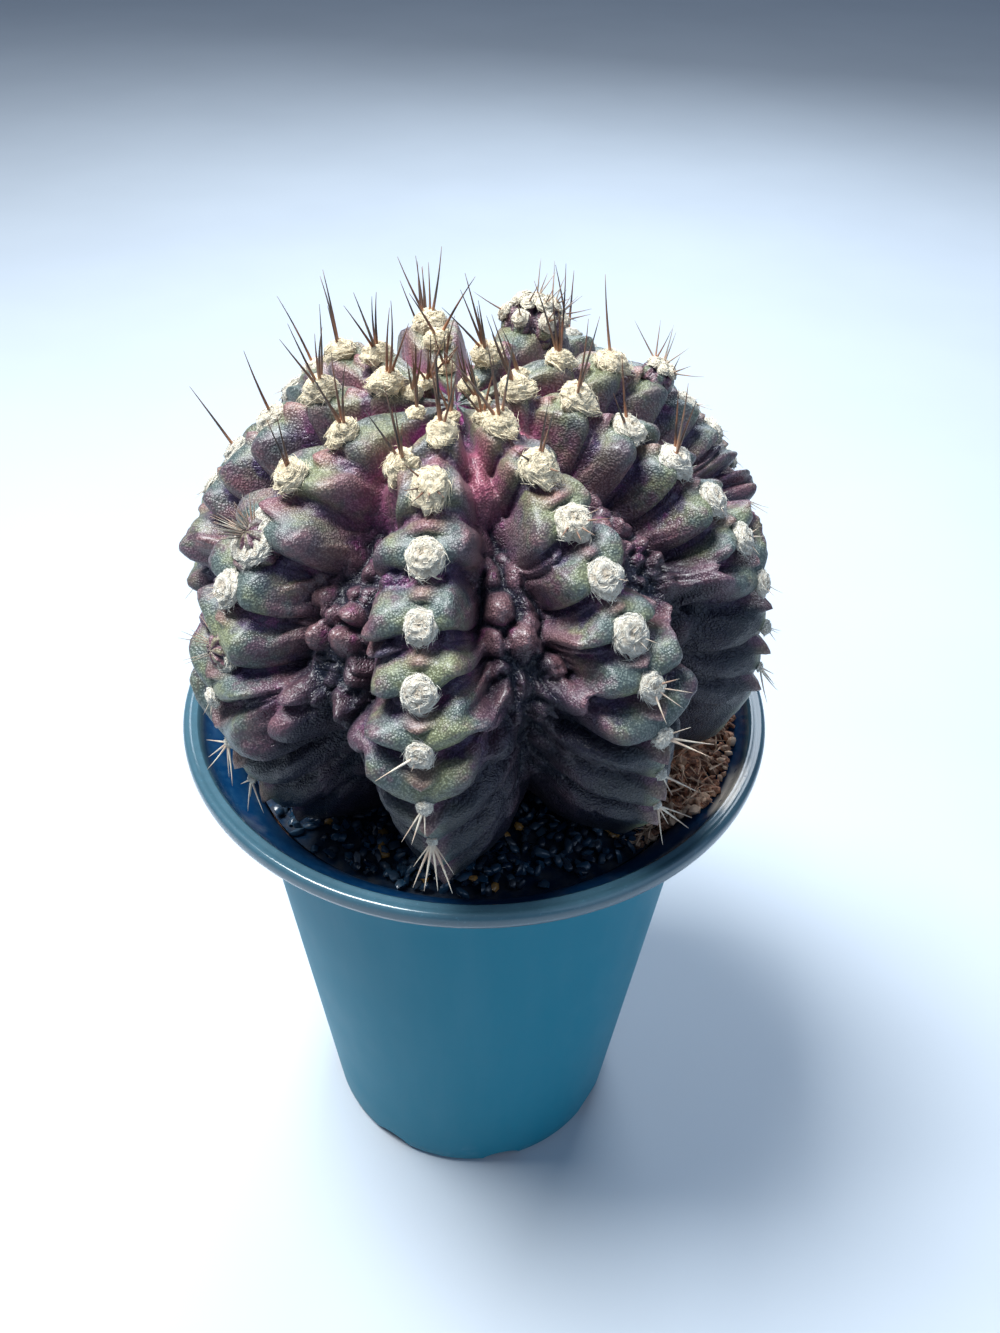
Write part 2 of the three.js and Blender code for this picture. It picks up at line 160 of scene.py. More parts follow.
def primitive(operator: str, name: str, **sizes: object) -> Piece:
    """Adds one of Blender's mesh primitives under a name.

    Args:
        operator: What follows primitive_ and comes before _add in the operator's name.
        name: The new object's name.
        **sizes: The operator's own arguments.

    Returns:
        The new object, which is the only one selected.
    """
    bpy.ops.object.select_all(action="DESELECT")
    getattr(bpy.ops.mesh, f"primitive_{operator}_add")(**sizes)
    piece = bpy.context.active_object
    piece.name = piece.data.name = name
    return piece


def points_of(piece: Piece) -> Array:
    """A piece's vertices as rows of x, y and z."""
    flat = np.empty(3 * len(piece.data.vertices))
    piece.data.vertices.foreach_get("co", flat)
    return flat.reshape(-1, 3)


def place_points(piece: Piece, points: Array) -> None:
    """Moves a piece's vertices to new places, given as rows of x, y and z."""
    piece.data.vertices.foreach_set("co", np.asarray(points, float).ravel())
    piece.data.update()


def triangles_of(piece: Piece) -> Array:
    """A piece's faces cut into triangles, as rows of three vertex numbers."""
    piece.data.calc_loop_triangles()
    flat = np.empty(3 * len(piece.data.loop_triangles), int)
    piece.data.loop_triangles.foreach_get("vertices", flat)
    return flat.reshape(-1, 3)


def note(piece: Piece, name: str, values: Array) -> None:
    """Keeps one value for each vertex under a name that a finish can read."""
    layer = piece.data.attributes.new(name, "FLOAT", "POINT")
    layer.data.foreach_set("value", np.asarray(values, np.float32).ravel())


def copies(template: Piece, name: str, placed: Array, **notes: Array) -> Piece:
    """One mesh of many copies of a template, which is then removed.

    Args:
        template: The piece that repeats.
        name: The new object's name.
        placed: Points of every copy, shaped copies by vertices by 3.
        **notes: Values to keep, one for each copy or one for each vertex of each copy.

    Returns:
        The new object.
    """
    count, size = placed.shape[:2]
    triangles = triangles_of(template)
    faces = (triangles[None] + size * np.arange(count)[:, None, None]).reshape(-1, 3)
    mesh = bpy.data.meshes.new(name)
    mesh.vertices.add(count * size)
    mesh.loops.add(3 * len(faces))
    mesh.polygons.add(len(faces))
    mesh.vertices.foreach_set("co", placed.ravel())
    mesh.loops.foreach_set("vertex_index", faces.ravel().astype(np.int32))
    mesh.polygons.foreach_set("loop_start", 3 * np.arange(len(faces), dtype=np.int32))
    mesh.update(calc_edges=True)
    mesh.validate()
    piece = bpy.data.objects.new(name, mesh)
    bpy.context.scene.collection.objects.link(piece)
    for key, values in notes.items():
        values = np.asarray(values, float)
        if values.size == count:
            values = np.repeat(values.ravel(), size)
        note(piece, key, values)
    bpy.data.objects.remove(template)
    return piece


def joined(pieces: Sequence[Piece], name: str) -> Piece:
    """Joins pieces into the first of them and names the result."""
    bpy.ops.object.select_all(action="DESELECT")
    for piece in pieces:
        piece.select_set(True)
    bpy.context.view_layer.objects.active = pieces[0]
    if len(pieces) > 1:
        bpy.ops.object.join()
    pieces[0].name = pieces[0].data.name = name
    return pieces[0]


def smooth(piece: Piece, angle: float = 180) -> None:
    """Shades a piece smoothly, except across edges sharper than an angle in degrees."""
    bpy.ops.object.select_all(action="DESELECT")
    piece.select_set(True)
    bpy.context.view_layer.objects.active = piece
    bpy.ops.object.shade_smooth_by_angle(angle=math.radians(angle))


def mount(piece: Piece, node: str, finish: bpy.types.Material) -> None:
    """Gives a finished piece its material and its place in the frame.

    Args:
        piece: The finished piece.
        node: The frame's node that it stands for.
        finish: Its material.
    """
    piece.data.materials.clear()
    piece.data.materials.append(finish)
    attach(piece, "root")
    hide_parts(node)
    LOG.info("%s: %d triangles", piece.name, len(triangles_of(piece)))


def aimed(origin: Array, facing: Array, uphill: Array) -> Matrix:
    """The matrix of a local frame whose z faces out and whose y points uphill.

    Args:
        origin: The frame's origin.
        facing: Direction of its z axis.
        uphill: Roughly the direction of its y axis.

    Returns:
        The 4 by 4 matrix.
    """
    z = Vector(facing).normalized()
    x = Vector(uphill).cross(z).normalized()
    y = z.cross(x)
    turned = Matrix((x, y, z)).transposed().to_4x4()
    turned.translation = Vector(origin)
    return turned


def moved(points: Array, matrix: Matrix) -> Array:
    """Rows of points carried by a 4 by 4 matrix."""
    m = np.array(matrix)
    return points @ m[:3, :3].T + m[:3, 3]


# ---- finishes


class Recipe:
    """Lays out the nodes of one material or node group."""

    def __init__(self, tree: bpy.types.NodeTree) -> None:
        """Starts on a tree's own nodes."""
        self.tree = tree

    def add(self, kind: str, inputs: dict | None = None, **settings: object) -> bpy.types.Node:
        """Adds a node.

        Args:
            kind: The node's type, without the leading ShaderNode.
            inputs: Values or sockets for its inputs, by name or number.
            **settings: Its other properties.

        Returns:
            The node.
        """
        made = self.tree.nodes.new("ShaderNode" + kind)
        for key, value in settings.items():
            setattr(made, key, value)
        return self.feed(made, inputs or {})

    def feed(self, made: bpy.types.Node, inputs: dict) -> bpy.types.Node:
        """Links a node's inputs to the sockets given for them, and sets the others."""
        for key, value in inputs.items():
            if isinstance(value, Socket):
                self.tree.links.new(value, made.inputs[key])
            else:
                made.inputs[key].default_value = value
        return made

    def place(self) -> Socket:
        """Where the shaded point is, in metres."""
        return self.add("TexCoord").outputs["Object"]

    def noted(self, name: str) -> Socket:
        """A value that the mesh keeps under a name."""
        return self.add("Attribute", attribute_name=name).outputs["Fac"]

    def maths(self, operation: str, *values: object) -> Socket:
        """The clamped result of one of the Math node's operations."""
        inputs = dict(enumerate(values))
        return self.add("Math", inputs, operation=operation, use_clamp=True).outputs[0]

    def times(self, first: object, *others: object) -> Socket:
        """The product of values, clamped after each of them."""
        for value in others:
            first = self.maths("MULTIPLY", first, value)
        return first

    def plus(self, first: object, second: object) -> Socket:
        """The sum of two values, which may pass 1."""
        return self.add("Math", {0: first, 1: second}, operation="ADD").outputs[0]

    def spread(self, value: object, low: float, high: float) -> Socket:
        """A value of 0 to 1 spread evenly over low to high; low may be above high."""
        return self.add("MapRange", {"Value": value, 3: low, 4: high}).outputs[0]

    def band(self, value: object, low: float, high: float) -> Socket:
        """A smooth step from 0 at low to 1 at high; low may be above high."""
        inputs = {"Value": value, 1: low, 2: high}
        return self.add("MapRange", inputs, interpolation_type="SMOOTHSTEP").outputs[0]

    def blotches(self, scale: float, detail: float = 3, stretch: Point = (1, 1, 1),
                 rough: float = 0.55) -> Socket:
        """Noise about 0.5.

        Args:
            scale: Humps to a metre.
            detail: Octaves of finer noise.
            stretch: Share of the scale along each axis.
            rough: How strong the finer octaves are.

        Returns:
            The noise's value.
        """
        spread = self.add("Mapping", {"Vector": self.place(), "Scale": stretch})
        inputs = {"Vector": spread.outputs[0], "Scale": scale, "Detail": detail, "Roughness": rough}
        return self.add("TexNoise", inputs).outputs["Fac"]

    def creases(self, scale: float, wander: float) -> Socket:
        """Fine wandering creases: 0 in a crease and 1 between them.

        Args:
            scale: Humps between creases to a metre.
            wander: How strongly they wander.

        Returns:
            The height.
        """
        inputs = {"Vector": self.place(), "Scale": scale, "Detail": 2.0, "Distortion": wander}
        hump = self.add("TexNoise", inputs).outputs["Fac"]
        away = self.add("Math", {0: self.plus(hump, -0.5)}, operation="ABSOLUTE").outputs[0]
        return self.band(away, 0, 0.07)

    def over(self, share: object, base: Socket | Colour, paint: Colour) -> Socket:
        """Lays a screen colour over a base: hidden where share is 0, all of it where it is 1."""
        under = base if isinstance(base, Socket) else colour(*base)
        return self.mix(share, under, colour(*paint))

    def mix(self, share: object, first: object, second: object, blend: str = "MIX") -> Socket:
        """Blends two colours: the first where share is 0, the second where it is 1."""
        inputs = {0: share, 6: first, 7: second}
        made = self.add("Mix", inputs, data_type="RGBA", blend_type=blend)
        return made.outputs[2]

    def group(self, tree: bpy.types.NodeTree, **inputs: object) -> Socket:
        """The output of a shared node group, placed with its own values."""
        return self.feed(self.add("Group", node_tree=tree), inputs).outputs[0]


class Effects:
    """Node groups that several finishes use."""

    def __init__(self) -> None:
        """Builds the one group."""
        self.dust = self._dust()

    @staticmethod
    def _dust() -> bpy.types.NodeTree:
        """Patchy dust that lies on what faces up, with Scale patches to a metre."""
        tree = bpy.data.node_groups.new("dust", "ShaderNodeTree")
        for key, value in (("Scale", 300), ("Amount", 0.5)):
            socket = tree.interface.new_socket(key, in_out="INPUT", socket_type="NodeSocketFloat")
            socket.default_value = value
        tree.interface.new_socket("Mask", in_out="OUTPUT", socket_type="NodeSocketFloat")
        recipe, given = Recipe(tree), tree.nodes.new("NodeGroupInput").outputs
        normal = recipe.add("NewGeometry").outputs["Normal"]
        up = recipe.add("SeparateXYZ", {0: normal}).outputs["Z"]
        inputs = {"Vector": recipe.place(), "Scale": given["Scale"], "Detail": 4.0}
        patchy = recipe.band(recipe.add("TexNoise", inputs).outputs["Fac"], 0.35, 0.7)
        mask = recipe.times(recipe.band(up, -0.2, 0.9), patchy, given["Amount"])
        tree.links.new(mask, tree.nodes.new("NodeGroupOutput").inputs["Mask"])
        return tree


@dataclass(frozen=True)
class Finish:
    """What every finish has: a name and the gloss of its surface."""

    name: str
    roughness: float = 0.5
    specular: float = 0.5
    sheen: float = 0.0
    bump: float = 0.3
    relief: float = 0.1 * MM
    coat_roughness: float = 0.03

    def build(self, effects: Effects) -> bpy.types.Material:
        """Makes the material.

        Args:
            effects: The shared node groups.

        Returns:
            The material.
        """
        material = bpy.data.materials.new(self.name)
        material.use_nodes = True
        recipe = Recipe(material.node_tree)
        shader = material.node_tree.nodes["Principled BSDF"]
        recipe.feed(shader, {
            "Specular IOR Level": self.specular, "Sheen Weight": self.sheen,
            "Roughness": self.roughness, "Coat Roughness": self.coat_roughness})
        base, rough, height = self.surface(recipe, effects)
        linked = {"Base Color": base, "Roughness": rough, "Coat Weight": self.coat(recipe)}
        if height is not None:
            bump = recipe.add("Bump", {
                "Strength": self.bump, "Distance": self.relief, "Height": height})
            linked["Normal"] = bump.outputs[0]
        recipe.feed(shader, {key: value for key, value in linked.items() if value is not None})
        return material

    def surface(self, recipe: Recipe, effects: Effects) -> tuple:
        """Base colour, roughness and height of the surface; the last two may be None."""
        raise NotImplementedError

    def coat(self, recipe: Recipe) -> Socket | None:
        """Where a clear coat lies, from 0 to 1, if there is one."""
        return None


Readings = dict[str, Socket]


@dataclass(frozen=True)
class SkinFinish(Finish):
    """Velvety skin: olive on the rolls, painted purple shade below them, magenta near the crown, and
    painted navy shade in the clefts and over the low body.
    """

    olive: Colour = (124, 129, 96)
    slate: Colour = (82, 96, 93)
    maroon: Colour = (98, 72, 85)
    # purple is the narrow folds' own tone, and also painted shade in the clefts under the rolls
    purple: Colour = (66, 50, 84)
    # a near-black navy, painted as shade in the clefts and over the low body
    painted_shade: Colour = (8, 18, 38)
    magenta: Colour = (150, 58, 122)
    blush: Colour = (160, 106, 110)
    rose: Colour = (166, 80, 104)
    nodule: Colour = (132, 92, 89)
    fleck_and_highlight: Colour = (206, 210, 200)
    # what the colour is multiplied by between the papillae and on them: painted shade between them,
    # painted light on them
    grain_shade: Point = (0.42, 0.42, 0.46)
    grain_light: Point = (1.2, 1.2, 1.2)
    # how many patches, streaks or grains there are to a metre
    patches: float = 160
    blushes: float = 230
    streaks: float = 340
    rolls: float = 520
    wrinkles: float = 620
    creases: float = 1700
    papillae: float = 3900
    # how much each layer covers of what lies under it, where it is strongest
    fold_cover: float = 0.8
    blush_cover: float = 0.42
    nodule_cover: float = 0.7
    streak_cover: float = 0.42
    chin_cover: float = 0.55
    rose_cover: float = 0.7
    cleft_shade_cover: float = 0.9
    fleck_highlight_cover: float = 0.08
    grain_cover: float = 0.6
    coat_roughness: float = 0.3

    def coat(self, recipe: Recipe) -> Socket:
        """Glossy nodules, satin rolls, and dull skin near the soil."""
        glossy = recipe.spread(recipe.noted("wart"), 0.22, 0.7)
        return recipe.times(glossy, recipe.band(recipe.noted("age"), 0.74, 0.58))

    def surface(self, recipe: Recipe, effects: Effects) -> tuple:
        """Its colour, roughness and relief."""
        names = ("roll", "fold", "side", "age", "chin", "wart", "sunk")
        skin = {name: recipe.noted(name) for name in names}
        grains = recipe.add("TexVoronoi", {"Vector": recipe.place(), "Scale": self.papillae})
        # middle is noise about as wide as a roll, and fine is the noise of its wrinkles
        skin |= {"middle": recipe.blotches(self.rolls, 4),
                 "fine": recipe.blotches(self.creases, 3, (1, 1, 0.6), 0.6),
                 "papillae": recipe.band(grains.outputs["Distance"], 0.85, 0.1)}
        base = self.tinted(recipe, skin)
        base = self.flushed(recipe, skin, base)
        base = self.shaded_and_grained(recipe, skin, base)
        rough = recipe.spread(skin["fine"], 0.28, 0.48)
        tight = recipe.times(recipe.creases(self.wrinkles, 1.4), recipe.band(skin["roll"], 0.9, 0.3))
        height = recipe.plus(recipe.times(skin["papillae"], 0.5), skin["middle"])
        return base, rough, recipe.plus(height, tight)

    def tinted(self, recipe: Recipe, skin: Readings) -> Socket:
        """Slate and olive rolls, purple folds, painted purple shade in the clefts, and maroon flanks."""
        patches = recipe.band(recipe.blotches(self.patches, 4), 0.42, 0.62)
        base = recipe.over(patches, self.slate, self.olive)
        # painted shade: purple where the rolls dip into the clefts between them
        low = recipe.band(recipe.plus(skin["roll"], skin["middle"]), 1.3, 0.84)
        base = recipe.over(low, base, self.purple)
        base = recipe.over(recipe.times(skin["fold"], self.fold_cover), base, self.purple)
        flank = recipe.band(recipe.plus(skin["side"], skin["middle"]), 0.76, 1.1)
        return recipe.over(recipe.times(flank, recipe.band(skin["age"], 0.08, 0.4)), base, self.maroon)

    def flushed(self, recipe: Recipe, skin: Readings, base: Socket) -> Socket:
        """The warm colours: blushing roll ends and chins, nodules, and magenta streaks."""
        ends = recipe.times(recipe.band(skin["side"], 0.2, 0.55), recipe.band(skin["roll"], 0.35, 0.8))
        patch = recipe.band(recipe.blotches(self.blushes, 3), 0.48, 0.66)
        base = recipe.over(recipe.times(ends, patch, self.blush_cover), base, self.blush)
        base = recipe.over(recipe.times(skin["wart"], self.nodule_cover), base, self.nodule)
        # magenta runs in the young furrows and along the edges of the older clefts
        young = recipe.times(recipe.band(skin["age"], 0.3, 0.05), recipe.band(skin["middle"], 0.38, 0.6),
                             recipe.band(skin["sunk"], 0.1, 0.55))
        edge = recipe.times(recipe.band(skin["roll"], 0.1, 0.35), recipe.band(skin["roll"], 0.75, 0.4))
        streak = recipe.band(recipe.blotches(self.streaks, 3), 0.56, 0.66)
        streak = recipe.times(edge, streak, recipe.band(skin["age"], 0.75, 0.5), self.streak_cover)
        base = recipe.over(recipe.maths("MAXIMUM", young, streak), base, self.magenta)
        base = recipe.over(recipe.times(skin["chin"], self.chin_cover), base, self.blush)
        fresh = recipe.times(skin["chin"], recipe.band(skin["age"], 0.36, 0.2), self.rose_cover)
        return recipe.over(fresh, base, self.rose)

    def shaded_and_grained(self, recipe: Recipe, skin: Readings, base: Socket) -> Socket:
        """Painted navy shade in the clefts and over the low body near the soil, and a leathery grain all
        over with painted shade and light on its papillae.
        """
        # painted shade: near-black navy at the bottoms of the clefts between the rolls
        cleft_shade = recipe.times(recipe.band(skin["roll"], 0.26, 0.02), self.cleft_shade_cover)
        base = recipe.over(cleft_shade, base, self.painted_shade)
        # painted shade: the low body near the soil and the sunken furrows turn near-black navy, the
        # crests and the nodules less
        shade_depth = recipe.plus(skin["age"], recipe.times(skin["sunk"], 0.25))
        old = recipe.times(recipe.band(shade_depth, 0.66, 0.81), recipe.band(skin["side"], 0.02, 0.16))
        soil_shade_strength = recipe.spread(skin["wart"], 0.92, 0.4)
        base = recipe.over(recipe.times(old, soil_shade_strength), base, self.painted_shade)
        # pale flecks on the papillae of the rolls, partly their own pale tone and partly painted
        # highlight, and painted shade between the papillae
        light = recipe.times(recipe.band(skin["papillae"], 0.3, 1), recipe.band(skin["roll"], 0.1, 0.9),
                             recipe.band(old, 0.6, 0), self.fleck_highlight_cover)
        base = recipe.over(light, base, self.fleck_and_highlight)
        shade = recipe.band(recipe.plus(skin["papillae"], skin["fine"]), 0.6, 1.5)
        grain = recipe.mix(shade, (*self.grain_shade, 1), (*self.grain_light, 1))
        return recipe.mix(self.grain_cover, base, grain, "MULTIPLY")


@dataclass(frozen=True)
class WoolFinish(Finish):
    """Felted wool: cream at the crown, grey-white on older areoles, with painted shade in its grooves,
    creases and tangles.
    """

    cream: Colour = (240, 225, 192)
    grey: Colour = (227, 223, 210)
    shadow: Colour = (150, 124, 92)
    felting: float = 1500  # creases to a metre
    strands: float = 3800  # strands to a metre

    def surface(self, recipe: Recipe, effects: Effects) -> tuple:
        """Its colour, roughness and relief."""
        felt = recipe.creases(self.felting, 2.2)
        tangle = recipe.blotches(self.strands, 4, rough=0.7)
        old = recipe.band(recipe.noted("age"), 0.06, 0.3)
        base = recipe.over(old, self.cream, self.grey)
        # painted shade: the shadow colour goes into the felt's creases, the rosette's grooves and
        # dimple, and the gaps in the tangle; loose strands are left unshaded
        dents = recipe.times(recipe.band(felt, 0.75, 0), 0.5)
        dull = recipe.maths("MAXIMUM", dents, recipe.times(recipe.noted("wool_shade"), 0.62))
        dull = recipe.maths("MAXIMUM", dull, recipe.band(tangle, 0.48, 0.3))
        bulk = recipe.maths("SUBTRACT", dull, recipe.noted("strand"))
        return recipe.over(bulk, base, self.shadow), None, recipe.plus(felt, tangle)


@dataclass(frozen=True)
class SpineFinish(Finish):
    """Horn: near-black with an orange-brown foot when young, bone-white when old."""

    foot: Colour = (172, 116, 82)
    shaft: Colour = (42, 37, 38)
    bone: Colour = (222, 212, 192)
    streaks: float = 900  # to a metre

    def surface(self, recipe: Recipe, effects: Effects) -> tuple:
        """Its colour, roughness and relief."""
        streak = recipe.blotches(self.streaks, 3, (1, 1, 0.2))
        tip = recipe.band(recipe.noted("along"), 0.1, 0.46)
        dark = recipe.over(tip, self.foot, self.shaft)
        base = recipe.over(recipe.noted("pale"), dark, self.bone)
        stained = recipe.over(0.45, base, self.foot)
        return recipe.mix(recipe.band(streak, 0.62, 0.4), base, stained), None, streak


@dataclass(frozen=True)
class PotFinish(Finish):
    """Satin plastic with fine grain, dust, water marks and a worn lip, with painted shade on the lip and
    inside the pot.
    """

    plastic: Colour = (16, 118, 140)
    worn: Colour = (92, 142, 162)
    # the lip's tone: painted shade and painted reflection on the same plastic
    rim: Colour = (58, 90, 104)
    # painted shade of the inside of the pot
    inner: Colour = (2, 46, 84)
    lime: Colour = (236, 224, 206)
    height: float = 85.5 * MM
    lip_from: float = 2.8 * MM  # below the top
    lip_to: float = 2.1 * MM
    scuff_top: float = 8 * MM  # how far up the wall its foot is scuffed
    scuff_full: float = 2 * MM
    coat_roughness: float = 0.14

    def up(self, recipe: Recipe) -> Socket:
        """Height above the ground."""
        return recipe.add("SeparateXYZ", {0: recipe.place()}).outputs["Z"]

    def coat(self, recipe: Recipe) -> Socket:
        """The rolled lip, which is polished."""
        return recipe.band(self.up(recipe), self.height - self.lip_from, self.height - self.lip_to)

    def surface(self, recipe: Recipe, effects: Effects) -> tuple:
        """Its colour, roughness and relief."""
        lip, inside = self.coat(recipe), recipe.noted("inside")
        streaks = recipe.band(recipe.blotches(220, 4, (1, 1, 0.12)), 0.3, 0.75)
        plain, faded = colour(*self.plastic), recipe.over(0.1, self.plastic, self.worn)
        base = recipe.mix(streaks, plain, faded)
        # painted shade and painted reflection on the lip: a darker, greyer tone of the same plastic
        base = recipe.over(lip, base, self.rim)
        # painted shade inside the pot: a dark navy tone of the same plastic
        base = recipe.over(inside, base, self.inner)
        scuffs = recipe.band(recipe.blotches(2600, 4), 0.6, 0.7)
        base = recipe.over(recipe.times(lip, scuffs, 0.2), base, self.worn)
        # dried lime on the inner edge of the lip, and a thin haze of it round the wall
        crusts = recipe.band(recipe.blotches(900, 4), 0.28, 0.42)
        base = recipe.over(recipe.times(recipe.noted("lime"), crusts, 0.9), base, self.lime)
        haze = recipe.band(recipe.blotches(160, 5), 0.56, 0.72)
        base = recipe.over(recipe.times(inside, haze, 0.05), base, self.lime)
        dusty = recipe.group(effects.dust, Scale=900.0, Amount=0.06)
        base = recipe.over(dusty, base, self.worn)
        foot = recipe.band(self.up(recipe), self.scuff_top, self.scuff_full)
        rubbed = recipe.band(recipe.blotches(260, 3), 0.56, 0.7)
        base = recipe.over(recipe.times(foot, rubbed, 0.4), base, self.worn)
        marks = recipe.blotches(60, 4)
        rough = recipe.spread(marks, self.roughness - 0.06, self.roughness + 0.12)
        return base, rough, recipe.blotches(5200, 2)


@dataclass(frozen=True)
class GritFinish(Finish):
    """Dark glossy grit, with a few ochre chips among the blue-black ones."""

    dark: Colour = (8, 34, 58)
    blue: Colour = (36, 70, 96)
    ochre: Colour = (176, 128, 66)
    dust: Colour = (150, 140, 120)
    ochre_from: float = 0.955  # the tint from which a grain is ochre

    def surface(self, recipe: Recipe, effects: Effects) -> tuple:
        """Its colour, roughness and relief."""
        tint, grain = recipe.noted("tint"), recipe.blotches(1500, 4)
        base = recipe.over(recipe.band(tint, 0.1, 0.85), self.dark, self.blue)
        ochre = recipe.band(tint, self.ochre_from, self.ochre_from + 0.01)
        base = recipe.over(ochre, base, self.ochre)
        paler = recipe.over(0.5, base, self.blue)
        base = recipe.mix(recipe.band(grain, 0.55, 0.75), base, paler)
        dusty = recipe.group(effects.dust, Scale=500.0, Amount=0.12)
        return recipe.over(dusty, base, self.dust), None, grain


@dataclass(frozen=True)
class MixFinish(Finish):
    """Potting mix: dark humus, brown crumbs and orange-brown fibres."""

    humus: Colour = (120, 86, 72)
    crumb: Colour = (212, 152, 120)
    fibre: Colour = (240, 204, 172)
    speck: Colour = (190, 170, 140)

    def surface(self, recipe: Recipe, effects: Effects) -> tuple:
        """Its colour, roughness and relief."""
        clods = recipe.blotches(1200, 5)
        base = recipe.over(recipe.band(clods, 0.42, 0.64), self.humus, self.crumb)
        base = recipe.over(recipe.band(recipe.noted("tint"), 0.2, 1), base, self.fibre)
        grain = recipe.blotches(2500, 2, rough=0.7)
        specks = recipe.add("MapRange", {"Value": grain, 1: 0.64, 2: 0.69}).outputs[0]
        return recipe.over(recipe.times(specks, 0.5), base, self.speck), None, clods


@dataclass(frozen=True)
class FloorFinish(Finish):
    """A plain pale table top."""

    pale: Colour = (190, 198, 206)
    clouding: int = 5  # how much darker a channel is in the clouds

    def surface(self, recipe: Recipe, effects: Effects) -> tuple:
        """Its colour, roughness and relief."""
        clouds = recipe.band(recipe.blotches(9, 3), 0.2, 0.8)
        darker = tuple(channel - self.clouding for channel in self.pale)
        return recipe.over(clouds, self.pale, darker), None, None


# ---- the cactus's skin


@dataclass(frozen=True)
class Rib:
    """One rib: its crest's azimuth, its top areole's latitude, and how it runs down.

    Pace stretches the steps between its areoles, and lean is how many degrees the crest
    swings round between the first row and the last.
    """

    azimuth: float
    first: float
    pace: float = 1.0
    lean: float = 0.0


@dataclass(frozen=True)
class Boss:
    """A single tubercle between two ribs: its place, its half-sizes in ribs and rows, how tall
    and how rosy it is from 0 to 1, and the radius of its wool, if it bears any."""

    rib: float
    row: float
    width: float
    length: float
    height: float = 1.0
    rosy: float = 0.0
    wool_radius: float = 0.0


GROWN_RADIUS = 35.4 * MM  # radius of the body that the sizes of the relief are given for


@dataclass(frozen=True)
class SmoothPlaces:
    """Places on the smooth body, before any relief is added: one entry of each for every place.

    Side is 0 on a crest and 1 in a furrow. Out points level from the plant's axis, ground holds
    the points themselves, and across and up are the two parts of the way that the skin faces.
    """

    side: Array
    latitude: Array
    radius: Array
    height: Array
    out: Array
    ground: Array
    across: Array
    up: Array


